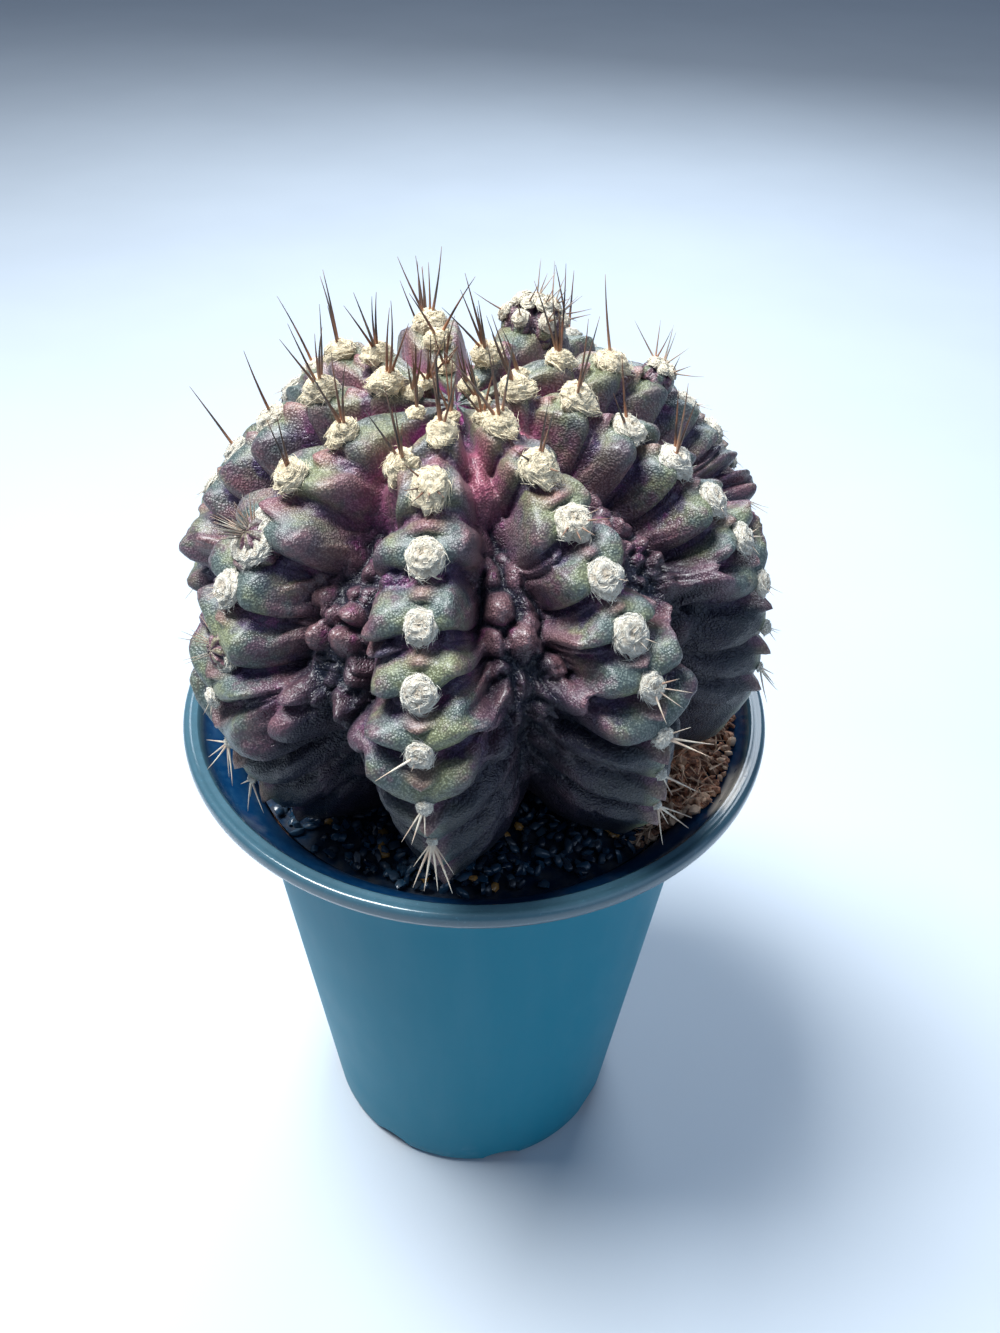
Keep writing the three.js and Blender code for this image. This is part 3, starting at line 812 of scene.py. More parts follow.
@dataclass
class RibbedSkin:
    """The growth formula of a ribbed body with cross rolls, chins and furrow warts.

    Rows count areoles down a rib from its first one, so every stretch of rows in the formula is
    a stretch of latitude. Shapes such as rolls and furrows are worked out from 0 to 1, and then
    given their size in metres.
    """

    ribs: tuple[Rib, ...]
    pose: Matrix
    radius: float = GROWN_RADIUS
    top: float = 30.4 * MM
    bottom: float = 28.6 * MM
    bottom_fullness: float = 2.4
    crown_dip: float = 1.6 * MM
    furrow_depth: float = 8.5 * MM
    roll_height: float = 3.8 * MM
    chin_height: float = 1.5 * MM
    mound_height: float = 1.3 * MM
    boss_height: float = 3.6 * MM
    tongue_height: float = 1.3 * MM
    crease_depth: float = 0.42 * MM
    wart_size: float = 4.1 * MM
    wart_height: float = 0.74  # as a share of wart_size
    # spacing and height of the nodules in the furrows, as shares of wart_size and of the
    # tallest ones, and the seed of their pattern
    nodule_sizes: tuple[tuple[float, float, int], ...] = ((0.9, 1.0, 0), (0.58, 0.5, 8))
    lump_spacing: float = 5.8 * MM
    row_step: float = 10.4
    row_stretch: float = 0.17
    rows: int = 9
    row_wander: float = 0.24  # how many rows a roll strays along its flank
    flank_shift: float = 0.42  # how many rows the rolls of one flank stand from the next one's
    full_relief_at: float = 0.62  # share of the radius from which the relief has its full size
    full_furrow_at: float = 0.5  # the same for the depth of the furrows
    droop: float = 0.42  # how far a roll or a chin hangs downhill, as a share of its height
    chin_droop: float = 0.35
    columns_per_rib: int = 60
    crown_rings: int = 14
    row_rings: int = 150
    base_rings: int = 16
    crowding: float = 0.42  # how much closer the columns stand in the furrows
    hidden_latitude: float = -88
    bosses: tuple[Boss, ...] = ()

    @property
    def scale(self) -> float:
        """How large the body is beside a grown one."""
        return self.radius / GROWN_RADIUS

    def profile(self, latitude: Array) -> tuple[Array, Array]:
        """Radius and height of the smooth body at latitudes in degrees."""
        sine = np.sin(np.radians(latitude))
        dip = self.crown_dip * smoothstep(latitude, 72, 90)
        low = np.clip(-sine, 0, 1)
        full = self.bottom_fullness
        across = np.where(sine >= 0, np.cos(np.radians(latitude)), (1 - low ** full) ** (1 / full))
        up = np.where(sine >= 0, self.top * sine - dip, self.bottom * sine)
        return self.radius * across, up

    def outward(self, latitude: Array) -> tuple[Array, Array]:
        """Outward direction of the smooth body, as its parts across and up."""
        step, pole = 0.5, 89.9
        r_above, z_above = self.profile(np.minimum(latitude + step, pole))
        r_below, z_below = self.profile(np.maximum(latitude - step, -pole))
        across, up = z_above - z_below, r_below - r_above
        length = np.hypot(across, up)
        return across / length, up / length

    def rib_values(self, u: Array) -> tuple[Array, Array, Array, Array, Array]:
        """Azimuth, first latitude, pace and lean blended round the plant, and the side.

        Args:
            u: Place round the plant, counted in ribs.

        Returns:
            The four blended values, and the side: 0 on a crest, 1 in a furrow.
        """
        count = len(self.ribs)
        low = np.floor(u).astype(int) % count
        part = u - np.floor(u)
        table = np.array([[r.azimuth, r.first, r.pace, r.lean] for r in self.ribs])
        table = np.vstack([table, table[0] + [360, 0, 0, 0]])
        blended = table[low] + part[:, None] * (table[low + 1] - table[low])
        return (*blended.T, 2 * np.minimum(part, 1 - part))

    def latitude(self, first: Array, pace: Array, side: Array, row: Array) -> Array:
        """Latitude of the skin at a row, which climbs from crest to furrow lower down."""
        climb = (0.15 + 1.05 * smoothstep(row, 3.2, 6)) * smoothstep(row, 0, 3) * side
        on = np.minimum(row, self.rows) - climb
        body = first - pace * (self.row_step * on + self.row_stretch * on ** 2)
        crown = 90 + (first - 90) * (row + 1)
        under = body + (self.hidden_latitude - body) * (row - self.rows) / 2
        return np.where(row < 0, crown, np.where(row > self.rows, under, body))

    def smooth_places(self, u: Array, row: Array) -> SmoothPlaces:
        """Places on the smooth body, from ribs counted round it and areoles down it."""
        azimuth, first, pace, lean, side = self.rib_values(u)
        latitude = self.latitude(first, pace, side, row)
        radius, height = self.profile(latitude)
        out = heading(azimuth + lean * (np.clip(row, 0, self.rows) / (self.rows - 1) - 0.5))
        ground = np.column_stack([out * radius[:, None], height])
        return SmoothPlaces(side, latitude, radius, height, out, ground, *self.outward(latitude))

    def half_rib(self, u: Array, row: Array, side: Array, seed: int) -> Array:
        """Slow noise down the plant that differs on every flank and is 0 on the crests."""
        flank = np.floor(2 * u) % (2 * len(self.ribs))
        track = np.column_stack([7.31 * flank, 0.85 * row, np.zeros(len(row))])
        return perlin(track, 1, seed) * window(side, 0.06, 0.4, 0.88, 1)

    @staticmethod
    def rolls(row: Array, side: Array, vary: Array) -> tuple[Array, Array]:
        """Cross rolls: a broad one above each areole and a narrow fold below it.

        Args:
            row: Row of the skin, with its wandering.
            side: 0 on a crest, 1 in a furrow.
            vary: Noise that makes the narrow folds differ.

        Returns:
            Height of the skin from 0 in a cleft to 1 on a roll, and the narrow fold's share.
        """
        plain = 1 - 0.6 * window(row, 2.4, 3.6, 4, 4.8)
        broad_middle, broad_half = 0.82, 0.31 + 0.12 * plain
        narrow_middle, narrow_half = 0.34, 0.17 - 0.05 * plain
        broad = np.clip(1 - np.abs(from_row(row, broad_middle) / broad_half) ** 2.2, 0, 1) ** 0.55
        narrow = np.clip(1 - (from_row(row, narrow_middle) / narrow_half) ** 2, 0, 1) ** 0.7
        swell = np.clip(0.62 - 0.3 * plain + 0.6 * vary, 0.2, 1)
        narrow = swell * narrow * smoothstep(side, 0.05, 0.3)
        return np.maximum(broad, narrow), (narrow > broad).astype(float)

    def lumpy_rolls(self, row: Array, bare: SmoothPlaces, roll: Array, ends: Array,
                    lumpy: Array) -> tuple[Array, Array]:
        """Breaks the low rolls up into big lumps half way down the flank.

        Args:
            row: Row of the skin.
            bare: The places on the smooth body.
            roll: Height of the plain rolls from 0 to 1.
            ends: How much of the rolls is left there, from 0 to 1.
            lumpy: How far they have turned into lumps, from 0 to 1.

        Returns:
            Height of rolls and lumps from 0 to 1, and how stout they are.
        """
        side = bare.side
        stout = 0.5 + 0.55 * np.sin(np.pi * np.clip(1.1 * side, 0, 1))
        swollen = 0.5 + 0.85 * bell(side - 0.5, 0.18)
        stout = stout + lumpy * np.maximum(swollen - stout, 0)
        stout = stout * (1 + 0.25 * window(row, 4.4, 5, 5.9, 6.6) - 0.35 * smoothstep(row, 6.4, 7.6))
        lump = knobs(bare.ground * [1, 1, 1.1], self.lump_spacing * self.scale, 4, cleft=0.26)
        return roll + 0.85 * lumpy * smoothstep(side, 0.34, 0.6) * ends * (lump - roll), stout

    @staticmethod
    def opened(row: Array) -> Array:
        """How wide the furrows open: 1 half way down the body, below 0 where they close."""
        return window(row, 1.6, 3, 4.5, 5.4) - 0.7 * window(row, 4.7, 5.5, 6.3, 7.3)

    def furrows(self, row: Array, side: Array, roll: Array, vary: Array) -> Array:
        """Depth of the furrow, from 0 on a crest to 1 in its floor.

        High ribs are flat-topped, and their rolls reach further into the furrow than the
        clefts between them do. Low ribs are keeled.
        """
        keel = smoothstep(row, 5.2, 7.4)
        reach = 0.13 * roll + 0.22 * vary - 0.2 * self.opened(row)
        boxed = 0.18 * side ** 2 + 0.82 * smoothstep(side - reach, 0.38, 0.7)
        wedge = 0.8 * side ** 1.1 + 0.2 * smoothstep(side, 0.55, 0.9)
        return boxed + keel * (wedge - boxed)

    def furrow_depths(self, row: Array, bare: SmoothPlaces) -> Array:
        """How far a furrow's floor lies below the crests: less at the crown and half way down."""
        sinking = np.minimum(1, bare.radius / (self.full_furrow_at * self.radius)) ** 0.8
        deepening = 0.86 + 0.34 * smoothstep(row, 5.2, 8)
        filled = 0.28 * window(row, 1.6, 3, 6, 7) * smoothstep(bare.side, 0.6, 0.8)
        return self.furrow_depth * deepening * (1 - filled) * sinking

    @staticmethod
    def chins(row: Array, side: Array) -> Array:
        """The pointed nose under each areole, from 0 to 1."""
        part = row % 1
        young = 1 - smoothstep(row, 1.6, 2.2)
        half_width = 0.2 + 0.12 * young - 0.1 * smoothstep(part, 0.25, 0.6)
        shape = window(part, 0.1 - 0.08 * young, 0.5, 0.55, 0.64)
        return bell(side, half_width) * shape * smoothstep(row, -0.2, 0.1)

    @staticmethod
    def mounds(row: Array, side: Array) -> Array:
        """The cushions that the youngest areoles stand on, from 0 to 1."""
        cushion = bell(side, 0.62) * bell(from_row(row, 0.06), 0.3)
        return cushion * window(row, -0.7, -0.3, 1.2, 2.2)

    @staticmethod
    def tongues(u: Array, row: Array, side: Array) -> Array:
        """The long rosy swelling in the top of each furrow, from 0 to 1."""
        furrow = np.floor(u) * 5.17  # any number that sets each furrow apart
        end = 1.4 + 0.5 * np.sin(furrow)
        shape = bell(1 - side, 0.42) * window(row, -0.5, 0.1, end - 0.7, end)
        return shape * (0.75 + 0.25 * np.cos(furrow))

    def boss(self, u: Array, row: Array) -> tuple[Array, Array]:
        """How tall the single tubercles stand, and how rosy they are, from 0 to 1."""
        count = len(self.ribs)
        tall, rosy = np.zeros(len(row)), np.zeros(len(row))
        for boss in self.bosses:
            across = (u - boss.rib + count / 2) % count - count / 2
            dome = bell(across, boss.width) * bell(row - boss.row, boss.length)
            tall = np.maximum(tall, boss.height * dome)
            low = smoothstep(row - boss.row, -0.05, 0.3)
            rosy = np.maximum(rosy, boss.rosy * dome * low)
        return tall, rosy

    def nodules(self, ground: Array) -> Array:
        """Round knobs of several sizes, from 0 between them to about 1 on the tallest."""
        knob = np.zeros(len(ground))
        for spacing, tall, seed in self.nodule_sizes:
            size = spacing * self.wart_size * self.scale
            knob = np.maximum(knob, tall * knobs(ground * [1, 1, 0.75], size, seed, cleft=0.3))
        return knob * (0.8 + 0.5 * perlin(ground, 6 * MM * self.scale, 9))

    def creases(self, row: Array, bare: SmoothPlaces, fold: Array, floor: Array) -> Array:
        """Depth of the fine creases in metres, the same on a body of any size but scaled."""
        line = np.abs(perlin(bare.ground * [1, 1, 1.6], 2.4 * MM * self.scale, 2))
        strength = (0.35 + 0.9 * fold + 0.1 * floor
                    + 0.4 * smoothstep(row, 3.5, 6) * (1 - bare.side))
        shown = (1 - smoothstep(line, 0, 0.22)) * smoothstep(bare.side, 0.05, 0.25)
        return self.crease_depth * self.scale * strength * shown

    def grow(self, u: Array, row: Array) -> tuple[Array, dict[str, Array]]:
        """Points of the skin.

        Args:
            u: Place round the plant, counted in ribs.
            row: Place down the plant, counted in areoles.

        Returns:
            The points in the frame, and what the finish reads, with one value for each point:
            roll, fold, wart, chin, side, age and sunk.
        """
        bare = self.smooth_places(u, row)
        side, ground, scale = bare.side, bare.ground, self.scale
        size = np.minimum(1, bare.radius / (self.full_relief_at * self.radius))
        shift = self.half_rib(u, row, side, 5)
        vary = self.half_rib(u, row, side, 6)
        wander = perlin(ground, 7 * MM * scale) * smoothstep(side, 0.08, 0.5)
        swelling = 1 + 0.35 * perlin(ground, 9 * MM * scale, 1)
        here = window(row, -0.8, 0.2, self.rows - 0.6, self.rows + 1)
        apex = 1 - smoothstep(row, -0.5, 0.1)
        opened = self.opened(row)

        # rolls across the ribs, and the chin under each areole
        ends = 1 - smoothstep(side - 0.15 * vary + 0.17 * opened, 0.6, 0.8)
        lumpy = smoothstep(row, 4.2, 5) * (1 - 0.6 * smoothstep(row, 6.4, 7.4))
        roll, fold = self.rolls(row + self.row_wander * wander + self.flank_shift * shift, side, vary)
        roll, stout = self.lumpy_rolls(row, bare, roll, ends, lumpy)
        strength = self.roll_height * stout * ends * here * size * swelling
        chin = self.chins(row, side) * here
        chin_push = self.chin_height * chin * size * np.where(row < 1.9, 1.35, 0.9 + 0.5 * wander)

        # mounds, tubercles and tongues near the crown
        mound = self.mounds(row, side)
        boss, rosy = self.boss(u, row)
        tongue = self.tongues(u, row, side) * (self.tongue_height > 0)
        rosy = np.maximum(rosy, tongue)

        # furrows, and the nodules on their floors
        furrow = self.furrows(row, side, roll, vary) * (1 - boss) * (1 - 0.5 * tongue)
        sunk = np.clip(furrow, 0, 1)
        floor = smoothstep(side - 0.06 * roll - 0.14 * vary + 0.2 * opened, 0.52, 0.64)
        floor = floor * smoothstep(row, 0, 1.6) * (1 - 0.5 * smoothstep(row, 5.2, 6.4))
        floor = np.maximum(floor, 0.6 * apex)
        wart = floor * self.nodules(ground) * (1 - boss) * (1 - tongue)

        lift = (strength * (roll - 0.5) - self.furrow_depths(row, bare) * furrow + chin_push
                + self.mound_height * mound + self.boss_height * boss
                + self.tongue_height * tongue * size
                + self.wart_height * self.wart_size * scale * wart * np.maximum(size, 0.5 * apex)
                - self.creases(row, bare, fold, floor) * here)
        hang = self.droop * strength * roll * smoothstep(bare.latitude, 88, 60) * (1 - 0.7 * lumpy)
        hang = hang + self.chin_droop * chin_push
        radius = bare.radius + bare.across * lift + bare.up * hang
        height = bare.height + bare.up * lift - bare.across * hang
        raised = 0.9 * wart + 0.8 * chin + 0.6 * mound + boss + tongue
        notes = {
            "roll": np.clip(roll * ends * here + (1 - here) * (1 - 0.6 * sunk) + raised, 0, 1),
            "fold": fold * ends * here,
            "wart": wart,
            "chin": np.maximum(chin * (0.6 + 0.4 * smoothstep(row, 1.4, 2)), rosy),
            "side": side * (1 - boss),
            "age": np.clip((row + 1) / (self.rows + 1), 0, 1),
            "sunk": sunk,
        }
        points = np.column_stack([bare.out * radius[:, None], height])
        return moved(points, self.pose), notes

    def seat(self, rib: float, row: float) -> Matrix:
        """Local frame of an areole: z faces out of the body and y points uphill."""
        u, at = np.array([float(rib)]), np.array([float(row)])
        bare = self.smooth_places(u, at)
        out, across, up = bare.out[0], bare.across[0], bare.up[0]
        turn = np.array(self.pose)[:3, :3]
        facing, uphill = turn @ [*(out * across), up], turn @ [*(-out * up), across]
        return aimed(self.grow(u, at)[0][0], facing, uphill)

    def areole_latitude(self, rib: int, row: float) -> float:
        """Latitude of an areole on the smooth body."""
        return float(self.smooth_places(np.array([float(rib)]), np.array([float(row)])).latitude[0])

    def build(self, name: str) -> Piece:
        """The skin as a closed mesh, from a sphere whose vertices follow the formula."""
        segments = len(self.ribs) * self.columns_per_rib
        rings = self.crown_rings + self.row_rings + self.base_rings
        piece = primitive("uv_sphere", name, segments=segments, ring_count=rings, radius=1)
        ball = points_of(piece)
        ring = np.arccos(np.clip(ball[:, 2], -1, 1)) / np.pi * rings
        turn = np.degrees(np.arctan2(ball[:, 0], -ball[:, 1])) / 360 % 1
        place = (turn * segments).round() % segments / self.columns_per_rib
        u = place + self.crowding * np.sin(2 * np.pi * (place % 1)) / (2 * np.pi)
        row = np.interp(ring, [0, self.crown_rings, self.crown_rings + self.row_rings, rings],
                        [-1, 0, self.rows, self.rows + 2])
        points, notes = self.grow(u, row)
        place_points(piece, points)
        for key, values in notes.items():
            note(piece, key, values)
        smooth(piece)
        return piece


# ---- wool


# the lowest latitudes of the crown, the shoulder and the flank
CROWN_EDGE, SHOULDER_EDGE, FLANK_EDGE = 62, 48, 16


class WoolKind(Enum):
    """How an areole's wool has aged: its height, how square it is, the depth of its rosette,
    the depth of its tufts, how far it hangs downhill, and the length of its loose fibres."""

    CROWN = (0.82, 2.2, 0.03, 0.15, 0.34, 1.8 * MM)
    SHOULDER = (0.72, 2.6, 0.09, 0.12, 0.2, 1.5 * MM)
    FLANK = (0.58, 3.2, 0.12, 0.08, 0.14, 1.4 * MM)
    BASE = (0.8, 2.2, 0.03, 0.14, 0.35, 0.8 * MM)

    @classmethod
    def at(cls, latitude: float) -> "WoolKind":
        """The kind of wool that a latitude's areoles have."""
        if latitude > CROWN_EDGE:
            return cls.CROWN
        if latitude > SHOULDER_EDGE:
            return cls.SHOULDER
        return cls.FLANK if latitude > FLANK_EDGE else cls.BASE


@dataclass(frozen=True)
class Areole:
    """A place that bears wool and spines. On the parent body it has a rib and a row."""

    seat: Matrix
    radius: float
    latitude: float
    age: float
    rib: float = -1
    row: float = 0


@dataclass
class Wool:
    """Woolly pads on the areoles, each with loose fibres over it."""

    crown_radius: float = 1.88 * MM
    base_radius: float = 0.5 * MM
    widest_above: float = 37  # latitude above which the pads have their full radius
    smallest_below: float = -8
    rise: float = 0.2
    rosette_turns: float = 2.6
    dimple: float = 0.34  # half its width, in radians from the middle
    tuft_size: float = 0.5
    lock_size: float = 0.24
    segments: int = 32
    ring_count: int = 26
    ring_crowding: float = 1.55  # how the rings crowd towards the top
    fibres: int = 130  # on a pad of full_radius or more
    least_fibres: int = 14
    full_radius: float = 1.6 * MM
    fibre_radius: float = 0.066 * MM
    young_age: float = 0.2
    seed: int = 5

    def radius_at(self, latitude: float) -> float:
        """Radius of a pad at a latitude: large high up, small near the soil."""
        share = float(smoothstep(latitude, self.smallest_below, self.widest_above))
        return self.base_radius + (self.crown_radius - self.base_radius) * share

    def surface(self, kind: WoolKind, number: int, ways: Array) -> tuple[Array, Array]:
        """Where a pad of unit radius has its surface.

        Args:
            kind: How the wool has aged.
            number: Shifts its lumps, so that no two pads are alike.
            ways: Unit directions from the pad's middle.

        Returns:
            The points, and how shadowed the wool is there, from 0 to 1.
        """
        height, squareness, rosette, tufting, hanging, _ = kind.value
        angle = np.arccos(np.clip(ways[:, 2], -1, 1))
        turn = np.arctan2(ways[:, 1], ways[:, 0])
        twist = 0.8 * number
        square = (np.abs(np.cos(turn + twist)) ** squareness
                  + np.abs(np.sin(turn + twist)) ** squareness) ** (-1 / squareness)
        tufts = 0.6 * perlin(ways * [1, 1, 0.4], self.tuft_size, number)
        tufts = tufts + 0.5 * perlin(ways, self.lock_size, number + 3)
        top = smoothstep(ways[:, 2], -0.1, 0.45)
        coil = 4 * self.rosette_turns * angle + turn + 1.6 * tufts
        groove = (0.5 - 0.5 * np.sin(coil)) * top
        dimple = bell(angle, self.dimple)
        grow = (1 + 2 * tufting * tufts - rosette * groove) * (0.55 + 0.45 * square)
        shaped = ways * grow[:, None]
        hang = smoothstep(-ways[:, 1], 0.2, 1) * smoothstep(0.5 - ways[:, 2], 0, 0.6)
        shaped[:, 1] -= hanging * hang * (1 + 1.6 * tufts)
        shaped[:, 2] = height * (shaped[:, 2] - 1.6 * rosette * dimple) + self.rise
        dark = 7 * rosette * groove + 6 * rosette * dimple + 0.8 * smoothstep(-tufts, 0.1, 0.5)
        return shaped, np.clip(dark, 0, 1)

    def pad(self, areole: Areole, number: int) -> Piece:
        """Models one pad on its seat.

        Args:
            areole: Where it sits.
            number: The pad's own number.

        Returns:
            The pad.
        """
        piece = primitive("uv_sphere", f"pad_{number}", segments=self.segments,
                          ring_count=self.ring_count, radius=1)
        ball = points_of(piece)
        angle = np.arccos(np.clip(ball[:, 2], -1, 1))
        angle = math.pi * (angle / math.pi) ** self.ring_crowding
        turn = np.arctan2(ball[:, 1], ball[:, 0])
        ways = np.column_stack([np.sin(angle) * np.cos(turn), np.sin(angle) * np.sin(turn),
                                np.cos(angle)])
        shaped, dark = self.surface(WoolKind.at(areole.latitude), number, ways)
        place_points(piece, moved(areole.radius * shaped, areole.seat))
        note(piece, "age", np.full(len(ball), areole.age))
        # how much painted shade the wool gets at each point
        note(piece, "wool_shade", dark)
        return piece

    def fibre_paths(self, areole: Areole, number: int, random: Random, template: Array) -> Array:
        """Points of the fibres that wind over one pad and stand off at its edge.

        Args:
            areole: Where the pad sits.
            number: The pad's own number.
            random: The stream of random numbers.
            template: Points of a straight unit fibre.

        Returns:
            The points of every fibre, shaped fibres by vertices by 3.
        """
        kind = WoolKind.at(areole.latitude)
        hanging, reach = kind.value[4:]
        count = int(self.fibres * min(1, areole.radius / self.full_radius) + self.least_fibres)
        along = template[:, 2]
        turn = random.uniform(0, 2 * math.pi, count)
        rise = random.uniform(-0.25, 0.98, count)
        loose = rise < 0.1 + 0.5 * hanging
        flat = np.sqrt(1 - rise ** 2)
        start = np.column_stack([flat * np.cos(turn), flat * np.sin(turn), rise])
        swirl = np.column_stack([-start[:, 1], start[:, 0], np.zeros(count)])
        head = swirl * random.choice([1.0, 1.0, -0.6], count)[:, None]
        head += random.normal(0, 0.45, (count, 3))
        head[loose] += 0.9 * (start[loose] - [0, 0.6, 0.5])
        head -= start * np.sum(head * start, axis=1)[:, None]
        head /= np.linalg.norm(head, axis=1)[:, None]
        length = reach * random.uniform(0.5, 1.2, count) / areole.radius
        arc = start[:, None] + (length[:, None] * along)[..., None] * head[:, None]
        ways = arc / np.linalg.norm(arc, axis=2)[..., None]
        centre = self.surface(kind, number, ways.reshape(-1, 3))[0].reshape(ways.shape)
        off = np.where(loose, random.uniform(0.1, 0.45, count), random.uniform(0.02, 0.1, count))
        centre = centre + ways * (off[:, None] * along ** 1.5)[..., None]
        across = np.cross(head, start)[:, None]
        width = self.fibre_radius * random.uniform(0.7, 1.3, count) / areole.radius
        section = template[:, :1] * across + template[:, 1:2] * ways
        return moved(areole.radius * (centre + width[:, None, None] * section), areole.seat)

    def build(self, areoles: Sequence[Areole]) -> list[Piece]:
        """Models all the wool.

        Args:
            areoles: Every areole that bears wool.

        Returns:
            The joined pads, and the fibres of the young pads and of the older ones.
        """
        random = np.random.default_rng(self.seed)
        fibre = tapered_rod("fibre", sides=3, cuts=2)
        template = points_of(fibre)
        pads, paths, ages = [], [], []
        for number, areole in enumerate(areoles):
            pads.append(self.pad(areole, number))
            paths.append(self.fibre_paths(areole, number, random, template))
            ages += [areole.age] * len(paths[-1])
        strands, ages = np.vstack(paths), np.array(ages)
        young = ages < self.young_age
        spare = tapered_rod("spare_fibre", sides=3, cuts=2)
        pieces = [joined(pads, "areole_wool")]
        for rod, name, chosen in ((fibre, "wool_fibres_high", young),
                                  (spare, "wool_fibres_low", ~young)):
            pieces.append(copies(rod, name, strands[chosen], age=ages[chosen],
                                 strand=np.ones(int(chosen.sum()))))
        for piece in pieces:
            smooth(piece)
        return pieces


def tapered_rod(name: str, sides: int, cuts: int) -> Piece:
    """A slim cone from z 0 to 1 with a foot of radius 1, cut across for bending.

    Args:
        name: The object's name.
        sides: Number of its sides.
        cuts: How many rings lie between foot and tip.

    Returns:
        The rod.
    """
    rod = primitive("cone", name, vertices=sides, radius1=1, radius2=0.12, depth=1,
                    end_fill_type="NGON")
    with editing(rod):
        bpy.ops.mesh.select_all(action="DESELECT")
    for face in rod.data.polygons:
        face.select = False
    for edge in rod.data.edges:
        low, high = (rod.data.vertices[v].co.z for v in edge.vertices)
        edge.select = abs(low - high) > 0.5  # the long edges alone
    bpy.ops.object.mode_set(mode="EDIT")
    bpy.ops.mesh.select_mode(type="EDGE")
    bpy.ops.mesh.subdivide(number_cuts=cuts)
    bpy.ops.object.mode_set(mode="OBJECT")
    points = points_of(rod)
    points[:, 2] += 0.5
    place_points(rod, points)
    return rod


# ---- spines


@dataclass(frozen=True)
class Spine:
    """One spine on its areole: where it points, how long it is and how old.

    Clock is in degrees from uphill, clockwise as seen from outside; lean is degrees away from
    straight out; pale is 0 for a dark young spine and 1 for a bone-white old one.
    """

    clock: float
    lean: float
    length: float
    pale: float = 1.0
    bow: float = 0.1
    radius: float = 0.2 * MM

    @classmethod
    def of(cls, clock: float, lean: float, length: float, pale: float = 1.0,
           radius: float = 0.2, bow: float = 0.1) -> "Spine":
        """A spine whose length and radius are given in millimetres."""
        return cls(clock, lean, length * MM, pale, bow, radius * MM)


BorneSpine = tuple[Spine, Matrix, float]  # a spine and what bears it

# The spines that are placed as seen, by rib and row: the clock, the lean and the length in
# millimetres of each, then its paleness, its radius in millimetres and its bow where they
# aren't the usual ones.
SEEN_SPINES: dict[tuple[float, float], tuple] = {
    (0, 1): ((200, 66, 3, 0.05), (172, 62, 3.2, 0.1), (228, 60, 2.6, 0.1),
             (-70, 50, 3, 0.05), (140, 70, 2.4, 0.05)),
    (0, 2): ((205, 76, 0.9, 1, 0.1),),
    (0, 3): ((225, 74, 1.3, 1, 0.1), (160, 74, 1.1, 1, 0.1)),
    (0, 4): ((170, 72, 1.3, 1, 0.12),),
    (0, 5): ((242, 74, 4.4), (205, 80, 1.2, 1, 0.12)),
    (0, 6): ((216, 66, 4, 1, 0.16), (200, 62, 3.8), (176, 64, 2.8, 1, 0.15)),
    (0, 7): ((226, 58, 3.2, 1, 0.15), (207, 58, 5.4, 1, 0.25), (190, 48, 5.2, 1, 0.22),
             (169, 54, 5.2, 1, 0.24), (150, 58, 5.8, 1, 0.25), (136, 64, 4, 1, 0.15)),
    (1, 1): ((30, 24, 6.5, 0.05), (48, 36, 5.6, 0.1), (170, 62, 2.6, 0.1),
             (-60, 55, 3, 0.1)),
    (1, 2): ((246, 66, 3, 0.05), (208, 62, 2.8, 0.1), (176, 60, 2.6, 0.2),
             (128, 62, 3, 0.05), (100, 68, 2, 0.2)),
    (1, 3): ((134, 72, 1.6, 1, 0.11),),
    (1, 4): ((140, 72, 2, 1, 0.12), (166, 74, 1.6, 1, 0.12), (205, 76, 1.2, 1, 0.1)),
    (1, 5): ((190, 72, 3.4), (150, 72, 3.2, 1, 0.13), (122, 74, 3.6, 1, 0.13),
             (92, 70, 2.2, 0.3)),
    (1, 6): ((120, 62, 5.4, 1, 0.2, -0.1), (132, 60, 5, 1, 0.2, 0.12),
             (76, 66, 2.6, 1, 0.12)),
    (1, 7): ((132, 62, 4.4), (172, 66, 2.6, 1, 0.14)),
    (1, 8): ((196, 60, 4.6), (168, 60, 2.6, 1, 0.15), (142, 58, 4.8),
             (124, 62, 4.4, 1, 0.16)),
}


